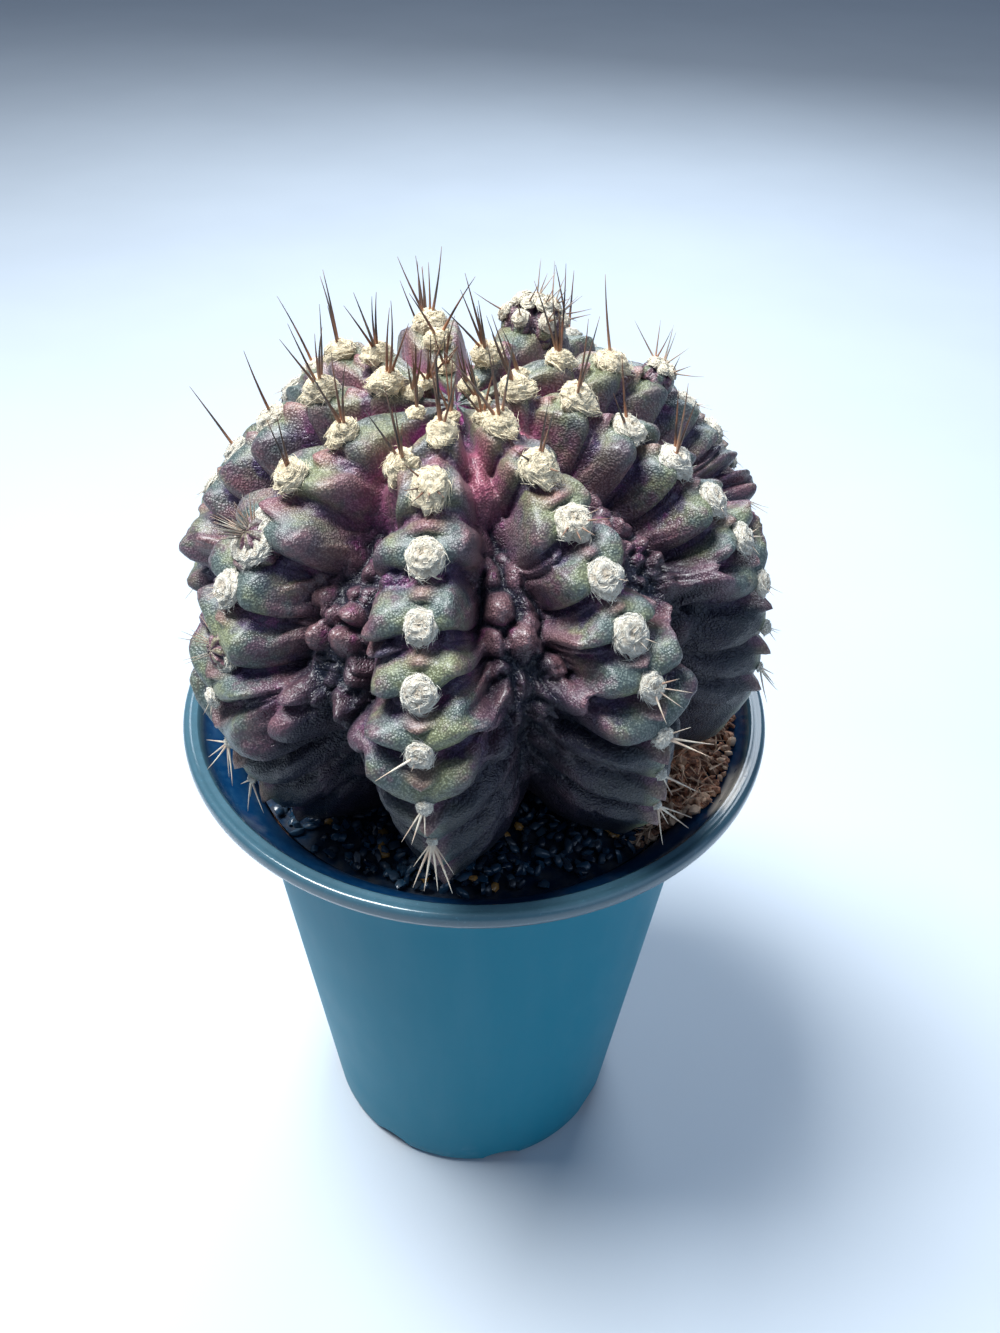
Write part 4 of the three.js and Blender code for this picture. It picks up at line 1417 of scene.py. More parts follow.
@dataclass
class Spines:
    """All the spines: some placed as seen, the rest drawn by their areole's latitude."""

    rooted: float = 0.8 * MM
    longest: float = 9.6 * MM
    longest_at_apex: float = 6.5 * MM
    dark_from: float = 40  # the latitude from which spines are long and dark
    short_from: float = 6  # and from which they are short; below it they are stout and pale
    fan: float = 26  # degrees between the lowest areoles' spines
    foot: float = 0.5  # how much thicker a spine's foot is than its shaft
    seed: int = 17

    def drawn(self, areole: Areole, random: Random) -> list[Spine]:
        """Spines of an areole that is not in the list of seen ones.

        Args:
            areole: The areole.
            random: The stream of random numbers.

        Returns:
            The areole's spines.
        """
        if areole.latitude > self.dark_from:
            crown = areole.latitude > CROWN_EDGE
            count = int(random.integers(2, 6) if crown else random.integers(1, 4))
            spread, leans = (95, (3, 34)) if crown else (42, (12, 44))
            longest = self.longest if areole.row >= 0 else self.longest_at_apex
            return [Spine(clock=random.uniform(-spread, spread), lean=random.uniform(*leans),
                          length=random.uniform(0.6, 1) * longest,
                          pale=random.uniform(0, 0.15), bow=random.uniform(-0.14, 0.14),
                          radius=0.22 * MM)
                    for _ in range(count)]
        if areole.latitude > self.short_from:
            return [Spine(clock=180 + random.uniform(-75, 75), lean=random.uniform(62, 80),
                          length=random.uniform(1.4, 2.4) * MM, pale=random.uniform(0.7, 1),
                          bow=random.uniform(-0.1, 0.25), radius=0.11 * MM)
                    for _ in range(int(random.integers(2, 5)))]
        return [Spine(clock=180 + (place - 1.5) * self.fan + random.uniform(-8, 8),
                      lean=random.uniform(50, 74), length=random.uniform(3.4, 5.2) * MM,
                      bow=random.uniform(-0.1, 0.2), radius=0.18 * MM)
                for place in range(int(random.integers(4, 6)))]

    def path(self, spine: Spine, seat: Matrix, radius: float, template: Array) -> Array:
        """Points of one spine.

        Args:
            spine: The spine.
            seat: Its areole's local frame.
            radius: Its areole's radius.
            template: Points of a straight unit rod.

        Returns:
            The rod's points, bent and put in place.
        """
        clock, lean = math.radians(spine.clock), math.radians(spine.lean)
        flat = np.array([math.sin(clock), math.cos(clock), 0.0])
        out = np.array([0, 0, 1.0])
        straight = out * math.cos(lean) + flat * math.sin(lean)
        bend = out * math.sin(lean) - flat * math.cos(lean)
        side = np.cross(straight, bend)
        start = flat * 0.42 * radius * math.sin(lean) + [0, 0, 0.5 * radius]
        along = template[:, 2:3]
        full = spine.length + self.rooted
        centre = start - self.rooted * straight + full * (
            straight * along + spine.bow * bend * along ** 2)
        width = spine.radius * (1 + self.foot * (along < 0.05))
        points = centre + width * (template[:, :1] * bend + template[:, 1:2] * side)
        return moved(points, seat)

    def build(self, areoles: Sequence[Areole], extra: Sequence[BorneSpine]) -> Piece:
        """Models all the spines.

        Args:
            areoles: Every areole that bears spines.
            extra: Spines of the offsets, each with its local frame and radius.

        Returns:
            The piece.
        """
        random = np.random.default_rng(self.seed)
        rod = tapered_rod("spine", sides=6, cuts=7)
        template = points_of(rod)
        placed: list[BorneSpine] = []
        for areole in areoles:
            drawn = self.drawn(areole, random)
            seen = SEEN_SPINES.get((areole.rib, areole.row))
            chosen = [Spine.of(*row) for row in seen] if seen else drawn
            placed += [(spine, areole.seat, areole.radius) for spine in chosen]
        placed += extra
        paths = np.array([self.path(*each, template) for each in placed])
        piece = copies(rod, "spines", paths, pale=[spine.pale for spine, _, _ in placed],
                       along=np.tile(template[:, 2], len(placed)))
        smooth(piece)
        return piece


# ---- the whole plant


class OffsetKind(Enum):
    """What an offset looks like: how many ribs, rows of wool and dark spines it has, and how
    far its middle stands out of the skin, as a share of its radius."""

    BALL = (7, 2, 22, 0.05)
    THORNY = (6, 1, 34, -0.25)
    BUD = (6, 1, 9, -0.1)
    TUFT = (6, 1, 9, 0.3)


@dataclass(frozen=True)
class Offset:
    """A young plant on one of the areoles."""

    rib: int
    row: float
    radius: float
    kind: OffsetKind

    @property
    def budding(self) -> bool:
        """Whether it is only just breaking out, with wool on one side of it alone."""
        return self.kind in (OffsetKind.THORNY, OffsetKind.BUD)

    def covered(self) -> set[tuple[int, int]]:
        """Rib and row of the areoles that it takes up."""
        return {(self.rib, math.floor(self.row + 0.4)), (self.rib, math.ceil(self.row - 0.4))}


@dataclass
class Offsets:
    """The young plants, each with its own skin, wool and spines."""

    parent: RibbedSkin
    placed: tuple[Offset, ...] = (
        Offset(4, 1.48, 3.7 * MM, OffsetKind.BALL), Offset(8, 2.08, 3 * MM, OffsetKind.THORNY),
        Offset(8, 4.16, 2.5 * MM, OffsetKind.BUD), Offset(3, 2, 2.2 * MM, OffsetKind.TUFT),
    )
    bud_age: float = 0.5
    young_age: float = 0.2
    wool_latitude: float = 30  # where on the parent the same kind of wool grows
    seed: int = 71
    bodies: list[Piece] = field(default_factory=list)
    areoles: list[Areole] = field(default_factory=list)
    spines: list[BorneSpine] = field(default_factory=list)

    def skin(self, offset: Offset) -> RibbedSkin:
        """The offset's own body, which is the parent's shape made small."""
        count = offset.kind.value[0]
        share = offset.radius / self.parent.radius
        seat = self.parent.seat(offset.rib, offset.row)
        stand = Matrix.Translation((0, 0, offset.kind.value[3] * offset.radius))
        ribs = tuple(Rib(360 / count * rib - 180, 58) for rib in range(count))
        return RibbedSkin(
            ribs, seat @ stand, radius=offset.radius, top=self.parent.top * share,
            bottom=self.parent.bottom * share, furrow_depth=0.7 * self.parent.furrow_depth * share,
            roll_height=self.parent.roll_height * share, chin_height=0.4 * MM * share, mound_height=0,
            wart_size=self.parent.wart_size, crown_dip=self.parent.crown_dip * share,
            row_step=34, row_stretch=0, rows=4, columns_per_rib=12, crown_rings=8,
            row_rings=32, base_rings=6, tongue_height=0)

    def crescent(self, offset: Offset) -> list[Bearer]:
        """Seats of the wool that half rings a bud which is just breaking out."""
        seat = self.parent.seat(offset.rib, offset.row)
        ring, size = 0.66 * offset.radius, 0.46 * offset.radius
        clocks = np.radians(range(-20, 210, 32))
        return [(seat @ Matrix.Translation((ring * math.sin(c), ring * math.cos(c), 0.15 * size)),
                 size) for c in clocks]

    def ringed(self, small: RibbedSkin, offset: Offset, random: Random) -> list[Bearer]:
        """Seats of the wool on an offset's own ribs, each with a radius, and of its apex."""
        ribs, rows = offset.kind.value[:2]
        pad = (0.26 if rows > 1 else 0.34) * offset.radius
        seats = [(small.seat(rib, row), pad * random.uniform(0.8, 1.15))
                 for rib in range(ribs) for row in range(rows)]
        return [*seats, (small.seat(0, -0.9), 0.9 * pad)]

    def thorn(self, offset: Offset, seats: list[Bearer], random: Random) -> BorneSpine:
        """A spine of an offset, with the local frame and the radius of what bears it."""
        if offset.budding:
            seat, radius = self.parent.seat(offset.rib, offset.row), 0.5 * offset.radius
            clock, lean = random.uniform(185, 345), random.uniform(12, 74)
        else:
            seat, radius = seats[int(random.integers(0, len(seats)))]
            clock, lean = random.uniform(0, 360), random.uniform(5, 45)
        spine = Spine(clock, lean, length=random.uniform(2.2, 4.8) * MM,
                      pale=random.uniform(0.1, 0.6), bow=random.uniform(-0.1, 0.15),
                      radius=0.14 * MM)
        return spine, seat, radius

    def plan(self) -> None:
        """Builds the bodies and plans the wool and the spines on them."""
        random = np.random.default_rng(self.seed)
        for number, offset in enumerate(self.placed, start=1):
            small = self.skin(offset)
            body = small.build(f"offset_{number}")
            self.bodies.append(body)
            if offset.budding:
                for key, value in (("chin", 0.4), ("age", self.bud_age)):
                    body.data.attributes.remove(body.data.attributes[key])
                    note(body, key, np.full(len(body.data.vertices), value))
                seats = self.crescent(offset)
            else:
                seats = self.ringed(small, offset, random)
            age = self.bud_age if offset.budding else self.young_age
            self.areoles += [Areole(*seat, self.wool_latitude, age) for seat in seats]
            self.spines += [self.thorn(offset, seats, random) for _ in range(offset.kind.value[2])]


@dataclass
class Cactus:
    """The plant: skin, wool, spines and offsets, leaning a little towards the viewer."""

    centre: Point = (0.2 * MM, -3.2 * MM, 104 * MM)
    tilt: tuple[float, float] = (8.1, -5.4)
    lowest_areole: float = -14
    crown_rows: tuple[float, ...] = (-0.36, -0.62)
    crown_share: float = 0.54  # how large the pads of those rows are beside the others
    first_share: float = 0.84  # and the pads of the first row
    seed: int = 3
    bosses: tuple[Boss, ...] = (
        Boss(8.67, 0.5, 0.17, 0.3, height=0.65, rosy=0.9, wool_radius=1.8 * MM),
    )
    ribs: tuple[Rib, ...] = (
        Rib(-8, 77), Rib(34, 76, 0.93), Rib(74, 79, 0.88, -10), Rib(111, 71, 0.95),
        Rib(149, 79, 0.97), Rib(192, 75, 0.96), Rib(229, 72), Rib(259, 78, 1.1),
        Rib(304, 70, 1.02, 14),
    )

    def pose(self) -> Matrix:
        """The plant's place and lean."""
        tilt_x, tilt_y = (math.radians(angle) for angle in self.tilt)
        turn = Matrix.Rotation(tilt_x, 4, "X") @ Matrix.Rotation(tilt_y, 4, "Y")
        return Matrix.Translation(self.centre) @ turn

    def areoles(self, skin: RibbedSkin, wool: Wool, taken: set[tuple]) -> list[Areole]:
        """Every areole of the body, down to the lowest that shows above the grit.

        Args:
            skin: The body.
            wool: The wool, which says how large the pads are.
            taken: Ribs and rows whose areole an offset takes up.

        Returns:
            The areoles.
        """
        random = np.random.default_rng(self.seed)
        found = []
        for rib in range(len(self.ribs)):
            inner = self.crown_rows[:1] if rib % 2 else self.crown_rows[1:]
            for row in (*inner, *range(skin.rows)):
                latitude = skin.areole_latitude(rib, row)
                radius = wool.radius_at(latitude) * random.uniform(0.92, 1.08)
                if row < 1:
                    radius *= self.crown_share if row < 0 else self.first_share
                if latitude >= self.lowest_areole and (rib, row) not in taken:
                    age = max(row, 0) / skin.rows
                    found.append(Areole(skin.seat(rib, row), radius, latitude, age, rib, row))
        for boss in self.bosses:
            if boss.wool_radius > 0:
                seat = skin.seat(boss.rib, boss.row - 0.12)
                found.append(Areole(seat, boss.wool_radius, CROWN_EDGE + 1, 0, boss.rib, boss.row))
        return found

    def build(self, effects: Effects) -> None:
        """Builds and dresses every piece of the plant."""
        skin = RibbedSkin(self.ribs, self.pose(), bosses=self.bosses)
        body = skin.build("cactus_skin")
        skin_finish = SkinFinish("cactus_skin", specular=0.42, sheen=0.02, bump=0.7,
                                 relief=0.2 * MM).build(effects)
        mount(body, "cactus", skin_finish)

        wool = Wool()
        offsets = Offsets(skin)
        offsets.plan()
        areoles = self.areoles(skin, wool, set().union(*(o.covered() for o in offsets.placed)))
        for piece in offsets.bodies:
            mount(piece, "cactus", skin_finish)
        woolly = WoolFinish("areole_wool", roughness=0.95, specular=0.15, sheen=0.2, bump=0.7,
                            relief=0.1 * MM).build(effects)
        for piece in wool.build([*areoles, *offsets.areoles]):
            mount(piece, "cactus", woolly)

        thorny = Spines().build(areoles, offsets.spines)
        mount(thorny, "cactus",
              SpineFinish("spine_horn", roughness=0.42, specular=0.5, bump=0.3,
                          relief=0.05 * MM).build(effects))


# ---- the pot


# sections in millimetres: heights at which the outer and the inner wall are drawn, and the lip's
# outline, across from its outer edge and up from its foot or its top
OUTER_RISE = (1.2, 3, 8, 20, 35, 50, 62, 69, 73, 76, 78, 79.5, 80.6, 81.4, 82, 82.5, 82.9, 83.2)
BORE_FALL = (83.4, 83, 82.4, 81.6, 80.6, 79.2, 77.4, 75, 72, 62, 45, 20, 6)
LIP_FOOT = ((-0.9, 0), (-0.45, 0.06), (-0.1, 0.35), (0, 0.8))
LIP_TOP = ((0, -0.75), (-0.12, -0.35), (-0.4, -0.07), (-0.75, 0), (-1.05, -0.1), (-1.35, -0.14),
           (-1.65, -0.05), (-1.95, -0.06), (-2.2, -0.28), (-2.4, -0.8), (-2.7, -1.4))


@dataclass
class Pot:
    """Thin-walled tapered pot with a flared wall and a rolled lip."""

    height: float = 85.5 * MM
    base_radius: float = 24.5 * MM
    wall_top_radius: float = 33.1 * MM
    lip_radius: float = 40 * MM
    lip_height: float = 2.3 * MM
    bore_edge: float = 37.5 * MM  # radius at which the lip turns down into the bore
    flare: float = 4.8 * MM
    flare_length: float = 2.8 * MM
    wall: float = 1.2 * MM
    floor: float = 1.2 * MM
    base_chamfer: float = 1.2 * MM
    segments: int = 144
    slots: int = 8
    first_slot_azimuth: float = 12
    slot_width: float = 7 * MM
    slot_height: float = 2.6 * MM
    slot_depth: float = 3.2 * MM
    holes: int = 4
    hole_radius: float = 2.5 * MM
    hole_ring: float = 13 * MM
    first_hole_azimuth: float = 45
    smooth_angle: float = 38
    # dried lime: azimuths over which it comes and goes, radii, and depth below the top
    lime_azimuths: tuple[float, ...] = (53, 56, 65, 69)
    lime_radii: tuple[float, float] = (36.3 * MM, 38.8 * MM)
    lime_depth: float = 5 * MM

    def wall_radius(self, z: float) -> float:
        """Outer radius of the wall at a height, with the flare that leads out to the lip."""
        straight = self.base_radius + (self.wall_top_radius - self.base_radius) * z / self.height
        under_lip = self.height - self.lip_height
        return straight + self.flare * math.exp((z - under_lip) / self.flare_length)

    def bore_radius(self, z: float, gap: float = 0.0) -> float:
        """Inner radius of the wall at a height, less a gap."""
        return self.wall_radius(z) - self.wall - gap

    def outline(self) -> list[tuple[float, float]]:
        """Radius and height of the section, from the underside over the lip to the floor."""
        chamfer = self.base_chamfer
        foot = [(self.base_radius - chamfer * (1 - math.sin(a)), chamfer * (1 - math.cos(a)))
                for a in np.radians([0, 25, 50, 75])]
        outer = [(self.wall_radius(z * MM), z * MM) for z in OUTER_RISE]
        lip = [(self.lip_radius + across * MM, level + up * MM)
               for level, part in ((self.height - self.lip_height, LIP_FOOT), (self.height, LIP_TOP))
               for across, up in part]
        bore = [(self.bore_radius(z * MM), z * MM) for z in BORE_FALL]
        inner_foot = [(self.bore_radius(self.floor) - 0.1 * MM, 2.2 * MM),
                      (self.bore_radius(self.floor) - 1.0 * MM, self.floor)]
        return [*foot, *outer, *lip, *bore, *inner_foot]

    def turned(self, name: str, outline: Sequence[tuple[float, float]]) -> Piece:
        """Draws a disc up into a turned solid, one extrusion for each point of the outline.

        Args:
            name: The object's name.
            outline: Radius and height of each ring, from the underside round to the floor.

        Returns:
            The closed solid, with its faces pointing out.
        """
        radius, z = outline[0]
        shell = primitive("circle", name, vertices=self.segments, radius=radius,
                          fill_type="NGON", location=(0, 0, z))
        bpy.ops.object.transform_apply(location=True, rotation=False, scale=False)
        with editing(shell):
            for next_radius, next_z in outline[1:]:
                bpy.ops.mesh.extrude_region_move(
                    TRANSFORM_OT_translate={"value": (0, 0, next_z - z)})
                share = next_radius / radius
                bpy.ops.transform.resize(value=(share, share, 1), center_override=(0, 0, next_z))
                radius, z = next_radius, next_z
            bpy.ops.mesh.select_all(action="SELECT")
            bpy.ops.mesh.normals_make_consistent(inside=False)
        return shell

    def cutters(self) -> Piece:
        """The drain slots through the bottom corner and the holes through the floor."""
        def ring(cutter: Piece, points: Array, count: int, first: float) -> Piece:
            """Copies of a cutter round the pot's axis, from a first azimuth."""
            turns = [Matrix.Rotation(math.radians(first + 360 / count * i), 4, "Z")
                     for i in range(count)]
            return copies(cutter, "ring", np.array([moved(points, turn) for turn in turns]))

        arch = primitive("cylinder", "arch", vertices=36, radius=1, depth=2)
        arch_points = points_of(arch)[:, [0, 2, 1]] * [1, 1, -1]
        arch_points *= [self.slot_width / 2, self.slot_depth, self.slot_height]
        arch_points += [0, -self.base_radius, 0]
        slots = ring(arch, arch_points, self.slots, self.first_slot_azimuth)
        drill = primitive("cylinder", "drill", vertices=28, radius=self.hole_radius, depth=8 * MM)
        drill_points = points_of(drill) + [0, -self.hole_ring, 0]
        holes = ring(drill, drill_points, self.holes, self.first_hole_azimuth)
        both = joined([slots, holes], "drain_cutters")
        with editing(both):
            bpy.ops.mesh.normals_make_consistent(inside=False)
        return both

    def build(self, effects: Effects) -> None:
        """Builds and dresses the pot."""
        shell = self.turned("pot_shell", self.outline())
        cutters = self.cutters()
        bpy.ops.object.select_all(action="DESELECT")
        bpy.context.view_layer.objects.active = shell
        cut = shell.modifiers.new("drains", "BOOLEAN")
        cut.operation, cut.solver, cut.object = "DIFFERENCE", "MANIFOLD", cutters
        bpy.ops.object.modifier_apply(modifier=cut.name)
        bpy.data.objects.remove(cutters)
        points = points_of(shell)
        r, z = np.hypot(points[:, 0], points[:, 1]), points[:, 2]
        wall = np.array([self.bore_radius(float(each)) for each in z])
        within = np.minimum(wall + 0.4 * self.wall, self.bore_edge)
        note(shell, "inside", (r < within) & (z > 0.5 * self.floor))
        streak = window(np.degrees(np.arctan2(points[:, 0], -points[:, 1])), *self.lime_azimuths)
        near, far = self.lime_radii
        note(shell, "lime", streak * (r > near) * (r < far) * (z > self.height - self.lime_depth))
        smooth(shell, self.smooth_angle)
        mount(shell, "pot",
              PotFinish("pot_plastic", roughness=0.42, specular=0.12, bump=0.2,
                        relief=0.04 * MM).build(effects))


# ---- what fills the pot


def grain_shape(name: str, seed: int, crag: float = 0.28) -> Piece:
    """An angular grain about one unit across, from a ball with its corners pushed about."""
    grain = primitive("ico_sphere", name, subdivisions=1, radius=1)
    points = points_of(grain)
    points *= (1 + crag * perlin(points, 0.9, seed))[:, None]
    place_points(grain, points)
    return grain


def strewn(template: Array, place: Array, size: Array, random: Random) -> Array:
    """A grain's points at a random turn, at a place and with three half-sizes."""
    turn = Matrix.Rotation(random.uniform(0, 2 * math.pi), 3, "Z")
    turn = turn @ Matrix.Rotation(random.normal(0, 0.55), 3, "X")
    turn = turn @ Matrix.Rotation(random.normal(0, 0.35), 3, "Y")
    return (template * size) @ np.array(turn).T + place


@dataclass
class Grit:
    """Top dressing: a bed with loose glossy grains over it."""

    pot: Pot
    top: float = 78 * MM
    bottom: float = 76 * MM
    grains: int = 1500
    inner_radius: float = 13 * MM
    kinds: int = 4
    # ranges in millimetres of a grain's half-sizes and of its height over the bed
    half_sizes: tuple[tuple[float, float], ...] = ((0.5, 0.78), (0.8, 1.35), (0.42, 0.62))
    lift: tuple[float, float] = (0.1, 1.3)
    wall_gap: float = 0.9 * MM
    bed_gap: float = 0.3 * MM
    bare: tuple[float, float] = (53, 109)  # azimuths where the heap of mix covers the grit
    seed: int = 29

    def bed(self) -> Piece:
        """The bed that the loose grains lie on."""
        outline = [(self.pot.bore_radius(z, self.bed_gap), z) for z in (self.bottom, self.top)]
        outline += [(radius * MM, self.top) for radius in (26, 20, 10, 2)]
        disc = self.pot.turned("grit_bed", outline)
        note(disc, "tint", np.zeros(len(disc.data.vertices)))
        return disc

    def build(self, effects: Effects) -> None:
        """Builds and dresses the grit."""
        random = np.random.default_rng(self.seed)
        pieces = [self.bed()]
        for kind in range(self.kinds):
            shape = grain_shape(f"grain_{kind}", kind)
            template = points_of(shape)
            placed, tints = [], []
            while len(placed) < self.grains // self.kinds:
                azimuth = random.uniform(0, 360)
                outer = self.pot.bore_radius(self.top) - self.wall_gap
                radius = math.sqrt(random.uniform(self.inner_radius ** 2, outer ** 2))
                half = np.array([random.uniform(*limits) for limits in self.half_sizes]) * MM
                height = self.top + random.uniform(*self.lift) * MM
                tint = random.uniform(0, 1)
                if self.bare[0] < azimuth < self.bare[1]:
                    continue
                spot = np.array([*(heading(azimuth) * radius), height])
                placed.append(strewn(template, spot, half, random))
                tints.append(tint)
            pieces.append(copies(shape, f"grains_{kind}", np.array(placed), tint=tints))
        grit = joined(pieces, "grit_grains")
        smooth(grit, 50)
        mount(grit, "grit",
              GritFinish("grit_gloss", roughness=0.26, specular=0.6, bump=0.3,
                         relief=0.1 * MM).build(effects))


@dataclass
class PottingMix:
    """The mix that fills the pot, heaped against the wall on one side."""

    pot: Pot
    top: float = 75.7 * MM
    heap_top: float = 83.8 * MM
    heap_foot: float = 77.4 * MM
    heap_inner: float = 24.5 * MM
    bank: tuple[float, float] = (43, 117)
    gap: float = 0.3 * MM
    lumps: float = 0.5 * MM
    lump_size: float = 1.6 * MM
    crumbs: int = 420
    crumb_sizes: tuple[float, float] = (0.3, 0.85)
    fibres: int = 260
    fibre_lengths: tuple[float, float] = (1.5, 4.5)
    fibre_radii: tuple[float, float] = (0.09, 0.2)
    seed: int = 41

    def filling(self) -> Piece:
        """The bulk of the mix, which shows only through the drain openings."""
        heights = (1.5 * MM, 30 * MM, 60 * MM, 72 * MM, self.top)
        outline = [(self.pot.bore_radius(z, self.gap), z) for z in heights]
        bulk = self.pot.turned("mix_bulk", [*outline, (12 * MM, self.top), (2 * MM, self.top)])
        note(bulk, "tint", np.zeros(len(bulk.data.vertices)))
        return bulk

    def rim(self) -> float:
        """Radius at which the heap meets the wall."""
        return self.pot.bore_radius(self.heap_top, self.gap)

    def banked(self) -> tuple[float, float]:
        """Azimuth of the heap's middle, and half of its width in degrees."""
        return sum(self.bank) / 2, (self.bank[1] - self.bank[0]) / 2

    def heap_height(self, radius: Array, azimuth: Array) -> Array:
        """Height of the heap's surface: highest at the wall, falling inwards and sideways."""
        share = np.clip((radius - self.heap_inner) / (self.rim() - self.heap_inner), 0, 1)
        middle, half = self.banked()
        fade = 1 - smoothstep(np.abs(azimuth - middle) / half, 0.66, 1)
        return self.heap_foot + (self.heap_top - self.heap_foot) * share * fade

    def heap(self) -> Piece:
        """The heap itself: a ball squashed into a crescent against the wall."""
        crescent = primitive("uv_sphere", "mix_heap", segments=72, ring_count=36, radius=1)
        ball = points_of(crescent)
        middle, half = self.banked()
        azimuth = middle + half * ball[:, 0]
        radius = self.heap_inner + (self.rim() - self.heap_inner) * (0.5 + 0.5 * ball[:, 1])
        surface = self.heap_height(radius, azimuth)
        height = np.where(ball[:, 2] > 0, surface * ball[:, 2] + self.top * (1 - ball[:, 2]),
                          self.top + 2 * MM * ball[:, 2])
        limit = np.array([self.pot.bore_radius(float(h), self.gap) for h in height])
        radius = np.minimum(radius, limit)
        points = np.column_stack([heading(azimuth) * radius[:, None], height])
        lumps = perlin(points, self.lump_size, 4) * self.lumps
        points[:, 2] += np.where(ball[:, 2] > 0.2, lumps, 0)
        place_points(crescent, points)
        note(crescent, "tint", np.zeros(len(ball)))
        return crescent

    def spot(self, random: Random) -> tuple[float, float, float]:
        """Azimuth, radius and surface height of a random place on the heap."""
        azimuth = random.uniform(*self.bank)
        outer = self.pot.bore_radius(self.heap_top) - 1.2 * MM
        radius = self.heap_inner + (outer - self.heap_inner) * math.sqrt(random.uniform(0, 1))
        height = self.heap_height(np.array([radius]), np.array([azimuth]))[0]
        return azimuth, min(radius, self.pot.bore_radius(height) - 0.9 * MM), height

    def loose_crumbs(self, random: Random) -> Piece:
        """Crumbs strewn over the heap."""
        shape = grain_shape("crumb", 9, 0.8)
        template = points_of(shape)
        placed, tints = [], []
        for _ in range(self.crumbs):
            azimuth, radius, height = self.spot(random)
            half = random.uniform(*self.crumb_sizes) * MM * random.uniform(0.7, 1.2, 3)
            place = np.array([*(heading(azimuth) * radius), height + random.uniform(0, 0.5) * MM])
            placed.append(strewn(template, place, half, random))
            tints.append(random.uniform(0, 1) ** 2)
        return copies(shape, "crumbs", np.array(placed), tint=tints)

    def loose_fibres(self, random: Random) -> Piece:
        """Bent fibres strewn over the heap."""
        rod = tapered_rod("mix_fibre", sides=4, cuts=4)
        straight = points_of(rod)
        along = straight[:, 2:3] - 0.5
        placed, tints = [], []
        for _ in range(self.fibres):
            azimuth, radius, height = self.spot(random)
            direction = np.array([*heading(random.uniform(0, 360)), random.uniform(-0.1, 0.35)])
            bend = random.normal(0, 0.35, 3) * [1, 1, 0.5]
            length = random.uniform(*self.fibre_lengths) * MM
            start = np.array([*(heading(azimuth) * (radius - 0.8 * MM)),
                              height + random.uniform(0.3, 0.9) * MM])
            centre = start + length * (direction * along + bend * along ** 2)
            width = random.uniform(*self.fibre_radii) * MM
            sideways = np.array([-direction[1], direction[0], 0])
            placed.append(centre + width * (straight[:, :1] * [0, 0, 1]
                                            + straight[:, 1:2] * sideways))
            tints.append(random.uniform(0.55, 1))
        return copies(rod, "fibres", np.array(placed), tint=tints)

    def build(self, effects: Effects) -> None:
        """Builds and dresses the mix."""
        random = np.random.default_rng(self.seed)
        crumbs, fibres = self.loose_crumbs(random), self.loose_fibres(random)
        mix = joined([self.filling(), self.heap(), crumbs, fibres], "mix_crumbs")
        smooth(mix, 60)
        mount(mix, "potting_mix",
              MixFinish("potting_mix", roughness=0.9, specular=0.25, bump=0.8,
                        relief=0.3 * MM).build(effects))


# ---- camera, light and floor


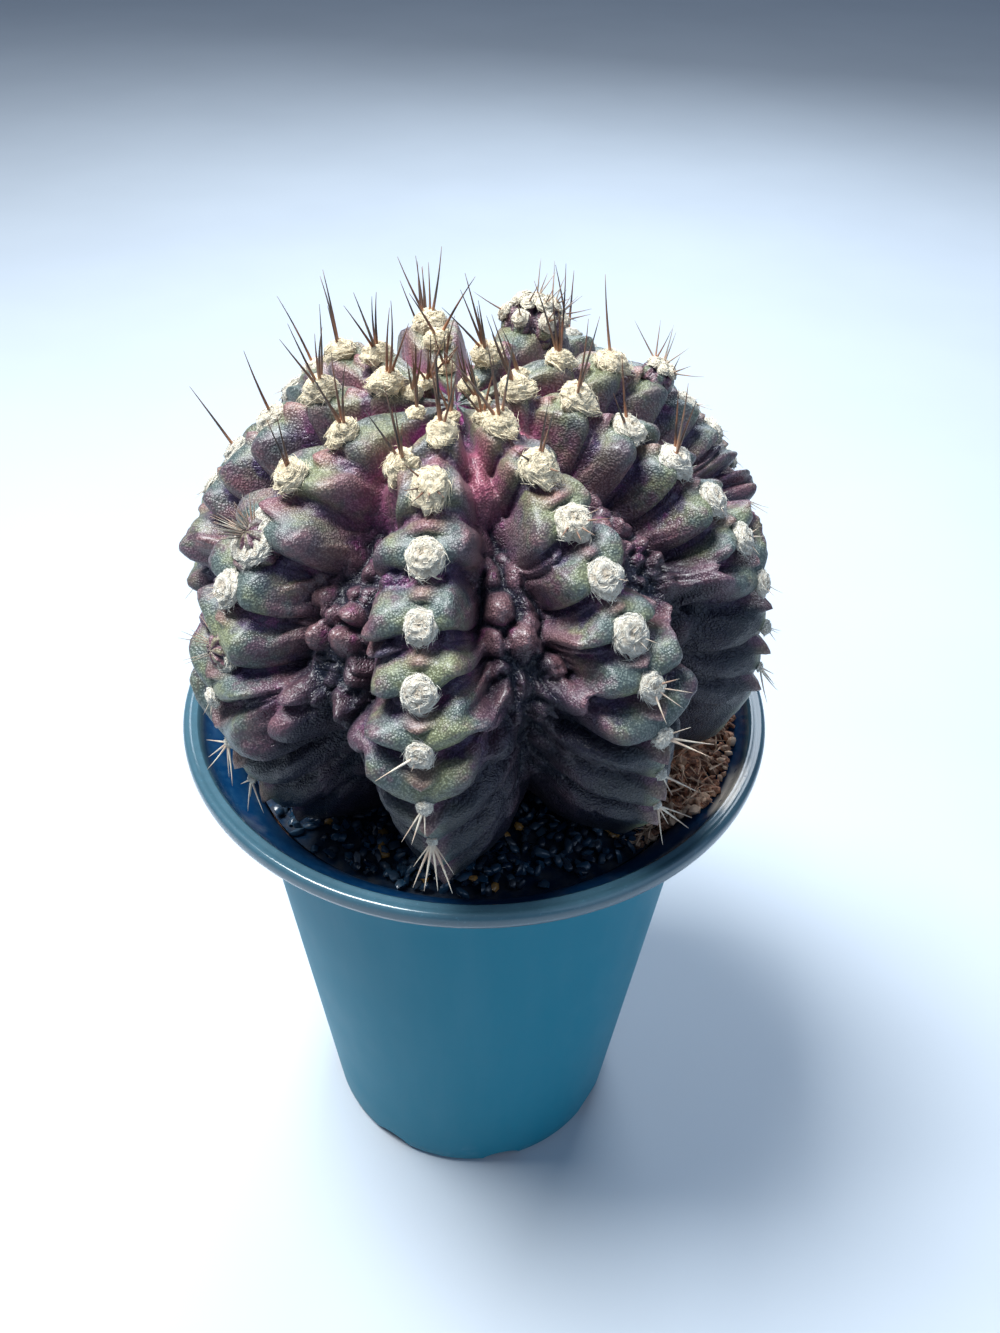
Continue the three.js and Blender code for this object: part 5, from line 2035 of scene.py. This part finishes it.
@dataclass
class Studio:
    """The photograph's viewpoint, a pale table and soft light."""

    frame_height: int = 1333  # pixels of the photograph's long side
    focal_pixels: float = 1150
    target_height: float = 85.5 * MM
    distance: float = 160.6 * MM
    elevation: float = 40.65
    yaw: float = 1.18
    pitch: float = -1.06
    roll: float = -0.6
    sensor: float = 36
    aim_height: float = 90 * MM  # where the lamps point
    table_size: float = 30
    sky: Colour = (184, 211, 250)
    sky_strength: float = 0.24

    def camera(self) -> None:
        """Sets the camera at the photograph's viewing angle."""
        data = bpy.data.cameras.new("viewpoint")
        data.sensor_width = self.sensor
        data.lens = self.sensor * self.focal_pixels / self.frame_height
        data.clip_start = 5 * MM
        rise = math.radians(self.elevation)
        back = Vector((0, -math.cos(rise), math.sin(rise)))
        right = Vector((1, 0, 0))
        looking = Matrix((right, back.cross(right), back))
        yaw, pitch, roll = (math.radians(a) for a in (self.yaw, self.pitch, self.roll))
        trim = (Matrix.Rotation(roll, 3, "Z") @ Matrix.Rotation(pitch, 3, "X")
                @ Matrix.Rotation(yaw, 3, "Y"))
        placed = (trim @ looking).transposed().to_4x4()
        placed.translation = Vector((0, 0, self.target_height)) + self.distance * back
        camera = bpy.data.objects.new("viewpoint", data)
        camera.matrix_world = placed
        bpy.context.scene.collection.objects.link(camera)
        bpy.context.scene.camera = camera

    def lamp(self, name: str, place: Point, size: float, power: float, tint: Colour) -> None:
        """A square soft light that shines at the plant.

        Args:
            name: Its name.
            place: Where it hangs.
            size: Its side.
            power: Its power in watts.
            tint: Its colour.
        """
        data = bpy.data.lights.new(name, "AREA")
        data.size, data.energy, data.color = size, power, colour(*tint)[:3]
        lamp = bpy.data.objects.new(name, data)
        lamp.location = place
        toward = Vector((0, 0, self.aim_height)) - Vector(place)
        lamp.rotation_euler = toward.to_track_quat("-Z", "Y").to_euler()
        bpy.context.scene.collection.objects.link(lamp)

    def build(self, effects: Effects) -> None:
        """Sets the table, the lights and the surrounding light."""
        table = primitive("plane", "table", size=self.table_size)
        table.data.materials.append(FloorFinish("table_top", roughness=0.6).build(effects))
        self.lamp("key", (-0.2, 0.02, 0.62), 0.24, 7.4, (249, 253, 255))
        self.lamp("fill", (0.45, -0.3, 0.36), 0.6, 1.1, (206, 228, 255))
        self.lamp("back", (0.12, 0.5, 0.44), 0.34, 2.6, (232, 243, 255))
        world = bpy.data.worlds.new("surroundings")
        world.use_nodes = True
        sky = world.node_tree.nodes["Background"]
        sky.inputs["Color"].default_value = colour(*self.sky)
        sky.inputs["Strength"].default_value = self.sky_strength
        bpy.context.scene.world = world
        bpy.context.scene.view_settings.view_transform = "Standard"


# ---- the whole object


def main() -> None:
    """Builds everything in order."""
    logging.basicConfig(level=logging.INFO, format="%(name)s: %(message)s")
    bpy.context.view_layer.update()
    studio = Studio()
    studio.camera()
    effects = Effects()
    studio.build(effects)
    pot = Pot()
    pot.build(effects)
    Grit(pot).build(effects)
    PottingMix(pot).build(effects)
    Cactus().build(effects)


if __name__ == "__main__":
    main()
